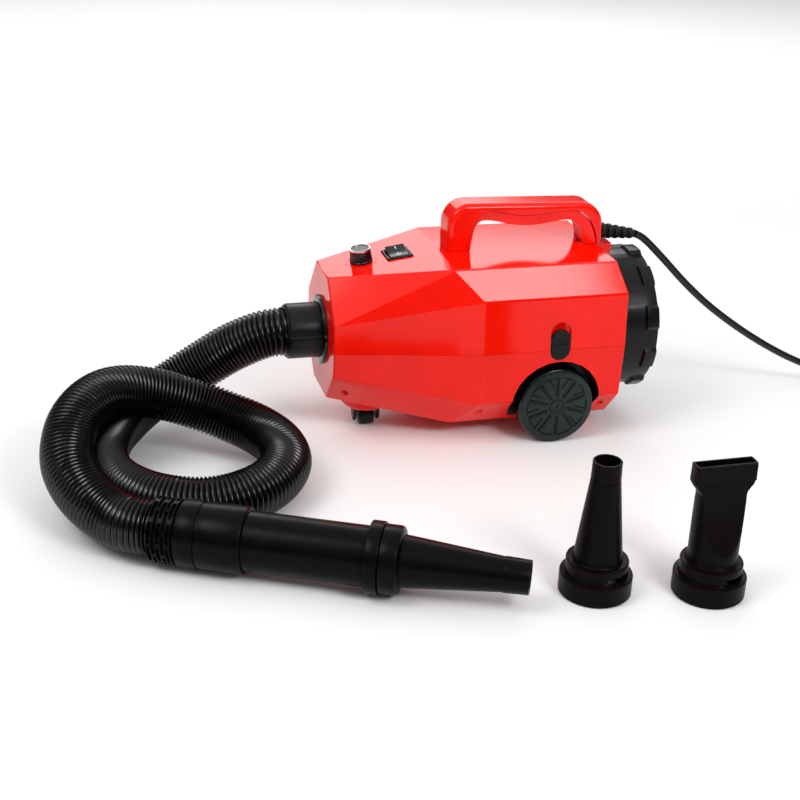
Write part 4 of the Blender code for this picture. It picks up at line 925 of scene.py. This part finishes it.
def add_spare_nozzles():
    top = NOZZLE_HEIGHT
    rings = foot_rings()
    outer = (
        (0.0228, 0.0333), (0.0222, 0.0340), (0.0134, 0.1124), (0.0129, 0.1126),
        (0.0129, 0.1130), (0.0134, 0.1132), (0.0130, top - 0.0005), (0.0126, top),
    )
    inner = ((0.0113, top), (0.0112, 0.1130), (0.0200, 0.0350), (0.0262, 0.0300), (0.0262, 0.0))
    rings += [flattened_ring(2 * r, r, z) for r, z in outer + inner]
    place = MACHINE @ Matrix.Translation(CONE_AT)
    cone = piece(
        "round_nozzle_moulded", lofted(rings, True), NOZZLE_BLACK, place,
        body="round_spare", stands_for=("cone_nozzle",),
    )
    cut_slots(cone, "round", place)

    rings = foot_rings()
    column = 0.0450
    mouth = 0.0590
    sections = [(column + 0.001, 0.0230, 0.0333)]
    sections += [(column, 0.0225, 0.0342), (column, 0.0225, 0.0470)]
    for step in range(1, 15):
        t = step / 14
        depth = 0.0225 - 0.0145 * (1 - (1 - t) ** 1.6)
        sections.append((column, depth, 0.0470 + 0.0540 * t))
    for step in range(1, 7):
        t = step / 6
        width = column + (mouth - 0.0014 - column) * eased(t)
        sections.append((width, 0.0080 - 0.0014 * t, 0.1010 + 0.0116 * t))
    sections.append((mouth, 0.0072, 0.1130))
    sections += [
        (mouth - 0.0006, 0.0070, top - 0.0008), (mouth - 0.0012, 0.0064, top),
        (mouth - 0.0044, 0.0048, top), (mouth - 0.0044, 0.0048, 0.1130),
        (column - 0.0044, 0.0048, 0.0970), (column - 0.0044, 0.0100, 0.0810),
        (column - 0.0044, 0.0203, 0.0400), (0.0524, 0.0262, 0.0300), (0.0524, 0.0262, 0.0),
    ]
    rings += [flattened_ring(*level) for level in sections]
    place = MACHINE @ Matrix.Translation(FLAT_AT)
    flat = piece(
        "flat_nozzle_moulded", lofted(rings, True), NOZZLE_BLACK, place,
        body="flat_spare", stands_for=("flat_nozzle",),
    )
    cut_slots(flat, "flat", place)


# ---------------------------------------------------------------- machine


def add_outlet():
    collar = rounded(
        (
            (0.0302, -0.0040), (0.0370, -0.0040), (0.0370, -0.0003), (0.0330, -0.0003),
            (0.0330, 0.0130), (0.0302, 0.0130),
        ),
        {1: 0.0014},
    )
    piece(
        "outlet_collar_turned", turned(collar, 96), BLACK_GLOSS,
        along_x(OUTLET_Z), stands_for=("outlet_collar",),
    )

    def groove(angle):
        heading = (degrees(angle) + 180) % 360 - 180
        return -1.0 if -103 <= heading <= -96 or 77 <= heading <= 84 else 0.0

    cuff = (
        (0.0255, -0.0400), (0.0262, -0.0403), (0.0272, -0.0400), (0.0288, -0.0375),
        (0.0293, -0.0372, 0.0009), (0.0295, -0.0362, 0.0009), (0.0295, -0.0050, 0.0009),
        (0.0295, -0.0046), (0.0295, 0.0100), (0.0285, 0.0120), (0.0255, 0.0120),
    )
    piece(
        "hose_cuff_moulded", turned(cuff, 144, groove), BLACK,
        along_x(OUTLET_Z), body="cuff", stands_for=("hose_cuff",), angle=28,
    )


def lobes(angle):
    """Ten flat-topped grip lobes round the cover's rim."""
    return min(1.0, max(0.0, 0.5 + 1.9 * cos(10 * angle)))


def add_intake():
    outside = (
        (0.0620, 0.3065), (0.0648, 0.3065), (0.0648, 0.3125), (0.0755, 0.3125),
        (0.0765, 0.3133), (0.0765, 0.3425), (0.0765, 0.3432, 0.0008), (0.0765, 0.3440, 0.0033),
        (0.0765, 0.3565, 0.0035), (0.0762, 0.3574, 0.0033), (0.0750, 0.3580, 0.0030),
        (0.0590, 0.3580), (0.0580, 0.3574), (0.0580, 0.3550), (0.0735, 0.3550),
        (0.0735, 0.3155), (0.0620, 0.3155),
    )
    piece(
        "rear_cover_moulded", turned(outside, 240, lobes), BLACK,
        along_x(INTAKE_Z), body="cover", stands_for=("rear_cover",), angle=30,
    )
    rear = GRILLE_REAR_X
    rim = section(0.0560, 0.0730, rear - 0.0032, rear)
    rings = [turned(rounded(rim, {2: 0.0006, 3: 0.0006}), 96)]
    for radius in (0.0110, 0.0215, 0.0320, 0.0425):
        ring = section(radius, radius + 0.0026, rear - 0.0028, rear)
        rings.append(turned(rounded(ring, {2: 0.0004, 3: 0.0004}), 72))
    hub = section(0, 0.0055, rear - 0.0030, rear + 0.0004)
    rings.append(turned(rounded(hub, {2: 0.0006}), 48))
    for count in range(12):
        angle = radians(30 * count)
        start = 0.0045 if count % 3 == 0 else 0.0120
        spoke = block((start, -0.0011, rear - 0.0026), (0.0570, 0.0011, rear - 0.0002))
        rings.append(moved(spoke, Matrix.Rotation(angle, 4, "Z")))
    piece(
        "grille_moulded", merged(*rings), BLACK, along_x(INTAKE_Z),
        body="cover", stands_for=("intake_grille",), angle=40,
    )


def wheel_ribs_painted_shade(face):
    """Ten paired long ribs, short ribs beside all but the upright ones, and rim arcs, which the
    wheel shows near-black as painted shade of its grooves.
    """
    bars = []
    low = face - 0.0012

    def add_bar(start, end, width, high, turn):
        rib = bar(start, end, width, low, high)
        bars.append(moved(rib, Matrix.Rotation(turn, 4, "Z")))

    for count in range(10):
        spoke = 36 * count + 18
        turn = radians(spoke)
        add_bar((0.0112, 0.0), (0.0335, 0.0), 0.0010, face - 0.0002, turn)
        add_bar((0.0116, 0.0022), (0.0333, 0.0022), 0.0009, face - 0.0006, turn)
        if spoke % 180 != 90:
            side = copysign(1.0, cos(turn))
            aside = side * (0.0095 if sin(turn) > 0.5 else 0.0055)
            reach = sqrt(0.0325**2 - aside**2)
            add_bar((0.0200, aside), (reach, aside), 0.0010, face - 0.0003, turn)
        for step in range(6):
            first = 0.09 + 0.42 * step / 6
            second = 0.09 + 0.42 * (step + 1.1) / 6
            start = polar(0.0336, first)
            end = polar(0.0336, second)
            add_bar(start, end, 0.0009, face - 0.0004, turn)
    return bars


def add_wheels():
    for side, label in ((-1, "near"), (1, "far")):
        place = outward(side, WHEEL_X, WHEEL_RADIUS)
        face = WHEEL_FACE
        back = face - WHEEL_WIDTH
        disc = (
            (0.0043, back), (0.0100, back), (0.0120, back + 0.0100), (0.0310, back + 0.0140),
            (0.0325, back + 0.0020), (0.0362, back + 0.0020), (0.0362, face - 0.0030),
            (0.0408, face - 0.0028), (0.0412, face - 0.0022), (0.0408, face - 0.0012),
            (0.0396, face - 0.0007), (0.0088, face - 0.0007), (0.0084, face - 0.0014),
            (0.0078, face - 0.0014), (0.0074, face - 0.0004), (0.0064, face - 0.0003),
            (0.0060, face - 0.0012), (0.0015, face - 0.0010), (0.0015, face - 0.0028),
            (0.0043, face - 0.0028),
        )
        piece(
            f"wheel_{label}_moulded", turned(disc, 96), WHEEL, place,
            body=f"{label}_wheel", stands_for=(f"wheel_{label}",),
        )
        # The near-black ribs paint the shade of the grooves in the wheel's face.
        piece(
            f"wheel_{label}_ribs", merged(*wheel_ribs_painted_shade(face)), WAND_BLACK, place,
            body=f"{label}_wheel",
        )
        tyre = (
            (0.0365, back + 0.0004), (0.0400, back), (0.0415, back + 0.0006),
            (0.0423, back + 0.0020), (0.0425, back + 0.0040), (0.0425, face - 0.0072),
            (0.0422, face - 0.0050), (0.0416, face - 0.0036), (0.0408, face - 0.0031),
            (0.0365, face - 0.0033),
        )
        piece(
            f"tyre_{label}_moulded", turned(tyre, 128), TYRE, place,
            body=f"{label}_wheel", stands_for=(f"tyre_{label}",),
        )


def add_caster():
    swivel = MACHINE @ Matrix.Translation((CASTER_X, 0, 0))
    stem = (
        (0, 0.0198), (0.0150, 0.0198), (0.0150, 0.0227), (0.0037, 0.0227),
        (0.0037, 0.0375), (0, 0.0375),
    )
    plate = turned(rounded(stem, {1: 0.0008}), 48)
    legs = []
    for side in (-1, 1):
        outline = [(0.0040, 0.0210), (-0.0100, 0.0210), (-0.0100, 0.0120)]
        outline += arc((-0.0040, 0.0100), 0.0056, 200, 340, 10)
        outline += [(0.0040, 0.0150)]
        low_x, high_x = sorted((side * 0.0112, side * 0.0145))
        rings = [[(x, y, z) for y, z in outline] for x in (low_x, high_x)]
        legs.append(lofted(rings, False))
    fork = piece(
        "caster_fork_moulded", merged(plate, *legs), BLACK, swivel,
        body="caster", stands_for=("caster_fork",),
    )
    bevelled(fork, 0.0005, 2)
    roller = rounded(section(0.0018, 0.0095, -0.0080, 0.0080), {1: 0.0016, 2: 0.0016})
    place = swivel @ Matrix.Translation((0, -0.0040, 0.0095)) @ Matrix.Rotation(pi / 2, 4, "Y")
    piece(
        "caster_wheel_moulded", turned(roller, 64), RUBBER, place,
        body="caster_roller", stands_for=("caster_wheel",),
    )


def handle_outer_line():
    """The handle's outside, from the front foot over the top to the rear foot."""
    front = [(0.1325, FOOT_Z), (0.1320, 0.2080)]
    front_bend = arc((0.1560, 0.2245), 0.0240, 180, 92, 20)
    rear_bend = arc((0.2795, 0.2172), 0.0280, 86, 0, 20)
    rear = [(0.3077, 0.2080), (0.3077, FOOT_Z)]
    return front + front_bend + rear_bend + rear


# Where the outer shell meets the grip insert, rear foot to front foot.
HANDLE_SEAM = (
    (0.3018, 0.1978), (0.3008, 0.2060), (0.2962, 0.2181), (0.2894, 0.2283), (0.2795, 0.2355),
    (0.2678, 0.2379), (0.2508, 0.2368), (0.2338, 0.2350), (0.2170, 0.2344), (0.1999, 0.2368),
    (0.1829, 0.2408), (0.1735, 0.2404), (0.1644, 0.2350), (0.1563, 0.2226), (0.1527, 0.2095),
    (0.1522, 0.1978),
)

# The edge of the finger opening, front foot to rear foot, with its wavy top.
HANDLE_OPENING = (
    (0.1579, 0.1978), (0.1590, 0.2090), (0.1617, 0.2218), (0.1665, 0.2284), (0.1725, 0.2301),
    (0.1837, 0.2288), (0.2008, 0.2249), (0.2179, 0.2228), (0.2349, 0.2232), (0.2517, 0.2256),
    (0.2650, 0.2268), (0.2745, 0.2245), (0.2810, 0.2190), (0.2848, 0.2110), (0.2868, 0.2030),
    (0.2872, 0.1978),
)


def inside_seam(point):
    """A seam point moved towards the finger opening by the gap between the pieces."""
    centre = (0.2230, 0.1900)
    x, z = point
    if z < 0.1990:
        return (x - copysign(1.5 * GAP, x - centre[0]), z)
    offset = Vector((x - centre[0], z - centre[1]))
    shrunk = offset * (1 - 1.8 * GAP / offset.length)
    return (centre[0] + shrunk.x - copysign(GAP, offset.x), centre[1] + shrunk.y - GAP)


def weight_edges(obj, wanted):
    """Marks the edges that the bevel rounds."""
    bm = bmesh.new()
    bm.from_mesh(obj.data)
    layer = bm.edges.layers.float.new("bevel_weight_edge")
    for edge in bm.edges:
        a, b = sorted(vert.index for vert in edge.verts)
        edge[layer] = wanted(a, b)
    bm.to_mesh(obj.data)
    bm.free()


def add_handle():
    outer = handle_outer_line()
    seam = smooth_line(HANDLE_SEAM, 6)
    outline = outer + seam
    shell = piece(
        "handle_outer", extruded(outline, -0.0170, 0.0170), RED, MACHINE,
        stands_for=("handle_shell",), angle=50,
    )
    total = len(outline)

    def outside(a, b):
        same_side = (a < total) == (b < total)
        along = same_side and a % total < len(outer) and b % total < len(outer)
        return 1.0 if along and abs(a - b) == 1 else 0.0

    weight_edges(shell, outside)
    modifier = shell.modifiers.new("round_edges", "BEVEL")
    modifier.width = 0.0066
    modifier.segments = 6
    modifier.limit_method = "WEIGHT"
    inner = [inside_seam(point) for point in seam]
    grip_outline = inner[::-1] + smooth_line(HANDLE_OPENING, 6)[::-1]
    grip = piece(
        "handle_inner", extruded(grip_outline, -0.0150, 0.0150), RED, MACHINE,
        stands_for=("handle_grip",), angle=50,
    )
    bevelled(grip, 0.0022, 4, 50)


def add_switch():
    place = on_roof(*SWITCH_AT)
    half_x, half_y = 0.01425, 0.0150
    inner_x, inner_y = 0.01055, 0.01255
    rings = []
    for x, y, z in (
        (half_x, half_y, 0.0003), (half_x, half_y, 0.0012),
        (half_x - 0.0008, half_y - 0.0008, 0.0020),
        (inner_x + 0.0010, inner_y + 0.0010, 0.0020), (inner_x, inner_y, 0.0010),
        (inner_x, inner_y, -0.0120), (half_x - 0.0019, half_y - 0.0019, -0.0180),
        (half_x - 0.0019, half_y - 0.0019, 0.0003),
    ):
        rings.append([(-x, -y, z), (x, -y, z), (x, y, z), (-x, y, z)])
    bezel = piece(
        "switch_frame_moulded", lofted(rings, True), BLACK, place,
        stands_for=("switch_bezel",),
    )
    bevelled(bezel, 0.0003, 2)
    add_rocker(place)


def add_rocker(place):
    half_x, half_y = 0.01025, 0.01225
    top_y = half_y - 0.0010
    outline = [(-half_y + 0.0012, -0.0065), (half_y - 0.0012, -0.0065), (top_y, 0.0052)]
    for step in range(1, 16):
        t = step / 16
        outline.append((top_y * (1 - 2 * t), 0.0052 - 0.0009 * sin(pi * t)))
    outline.append((-top_y, 0.0052))
    rings = [[(x, y, z) for y, z in outline] for x in (-half_x, half_x)]
    tilt = place @ Matrix.Translation((0, 0, -0.0005)) @ Matrix.Rotation(radians(12), 4, "X")
    rocker = piece(
        "rocker_moulded", lofted(rings, False), BLACK_GLOSS, tilt,
        body="rocker", stands_for=("switch_rocker",), angle=25,
    )
    bevelled(rocker, 0.0005, 3)
    stroke = block((-0.00055, 0.0038, 0.0040), (0.00055, 0.0088, 0.00505))
    ring = turned(section(0.0014, 0.0024, 0.0040, 0.0050), 32)
    moved(ring, Matrix.Translation((0, -0.0068, 0)))
    piece("rocker_marks", merged(stroke, ring), MARK, tilt, body="rocker")


def add_knob():
    place = on_roof(KNOB_X)

    def flutes(angle):
        return -abs(sin(12 * angle)) ** 4

    body = (
        (0.0034, 0.0004), (0.0118, 0.0004), (0.0122, 0.0008), (0.0122, 0.0020),
        (0.0118, 0.0026, 0.0003), (0.0110, 0.0120, 0.0003), (0.0109, 0.0128), (0.0094, 0.0130),
        (0.0094, 0.0145), (0.0034, 0.0145),
    )
    piece(
        "knob_moulded", turned(body, 144, flutes), KNOB_BLACK, place,
        body="knob", stands_for=("speed_knob",), angle=30,
    )
    rim = rounded(section(0.0097, 0.0112, 0.0131, 0.0158), {1: 0.0003, 2: 0.0006, 3: 0.0004})
    piece(
        "knob_rim_bright", turned(rim, 96), CHROME, place, body="knob",
        stands_for=("knob_rim",),
    )
    cap = ((0, 0.0146), (0.0096, 0.0146), (0.0096, 0.0149), (0.0090, 0.0150), (0, 0.0150))
    piece("knob_cap", turned(cap, 96), CAP_METAL, place, body="knob")
    pointer = block((-0.0004, 0.0035, 0.0149), (0.0004, 0.0088, 0.01515))
    piece("knob_pointer", pointer, BLACK, place, body="knob")
    ticks = []
    for i in range(25):
        angle = radians(-230 + 280 * i / 24)
        start = Vector((cos(angle), sin(angle))) * 0.0150
        long_tick = i % 4 == 0
        end = start * (1.16 if long_tick else 1.06)
        ticks.append(bar(start, end, 0.0006, 0.0, 0.00025))
    piece("dial_ticks", merged(*ticks), RED, place)


def obround(centre_x, low_z, high_z, width, steps=18):
    radius = width / 2
    points = []
    for centre_z, start in ((high_z - radius, 0.0), (low_z + radius, 180.0)):
        points += arc((centre_x, centre_z), radius, start, start + 180, steps)
    return points


def add_latches():
    for side, label in ((-1, "near"), (1, "far")):
        outline = obround(0.2375, 0.0985, 0.1325, 0.0220)
        low_y, high_y = sorted((side * 0.0908, side * 0.0952))
        latch = piece(
            f"latch_{label}_moulded", extruded(outline, low_y, high_y), BLACK,
            MACHINE, body=f"{label}_latch", stands_for=(f"side_latch_{label}",), angle=50,
        )
        bevelled(latch, 0.0009, 3, 50)
        ridges = []
        for i in range(2):
            z = 0.1147 + 0.0030 * i
            low_y, high_y = sorted((side * 0.0940, side * 0.0964))
            ridges.append(block((0.2290, low_y, z), (0.2460, high_y, z + 0.0013)))
        grip = piece(
            f"latch_{label}_grip", merged(*ridges), BLACK, MACHINE,
            body=f"{label}_latch",
        )
        bevelled(grip, 0.0004, 3)


def add_strain_relief():
    lean = MACHINE @ Matrix.Translation(RELIEF_AT) @ Matrix.Rotation(radians(98), 4, "Y")
    profile = [(0, -0.0055), (0.0057, -0.0055), (0.0057, 0.0)]
    for rib in range(5):
        start = 0.0087 * rib
        radius = 0.0088 - 0.0007 * rib
        profile += [
            (radius - 0.0006, start + 0.0001), (radius, start + 0.0008),
            (radius, start + 0.0044), (radius - 0.0006, start + 0.0051),
            (radius - 0.0026, start + 0.0054), (radius - 0.0028, start + 0.0084),
        ]
    profile += [(0.0044, 0.0435), (0, 0.0435)]
    webs = []
    for count in range(4):
        turn = Matrix.Rotation(pi / 2 * (count + 0.5), 4, "Z")
        web = [(0.0030, 0.0030), (0.0080, 0.0030), (0.0050, 0.0410), (0.0030, 0.0410)]
        rings = [[(x, y, z) for x, z in web] for y in (-0.0010, 0.0010)]
        webs.append(moved(lofted(rings, False), turn))
    piece(
        "strain_relief_moulded", merged(turned(profile, 48), *webs), RUBBER, lean,
        stands_for=("strain_relief",),
    )


def main():
    add_camera()
    add_cord()
    hose, path = add_hose()
    add_studio()
    ends = add_wand()
    add_spare_nozzles()
    add_outlet()
    add_intake()
    add_wheels()
    add_caster()
    add_handle()
    add_switch()
    add_knob()
    add_latches()
    add_strain_relief()
    carry_cad_nodes()


main()
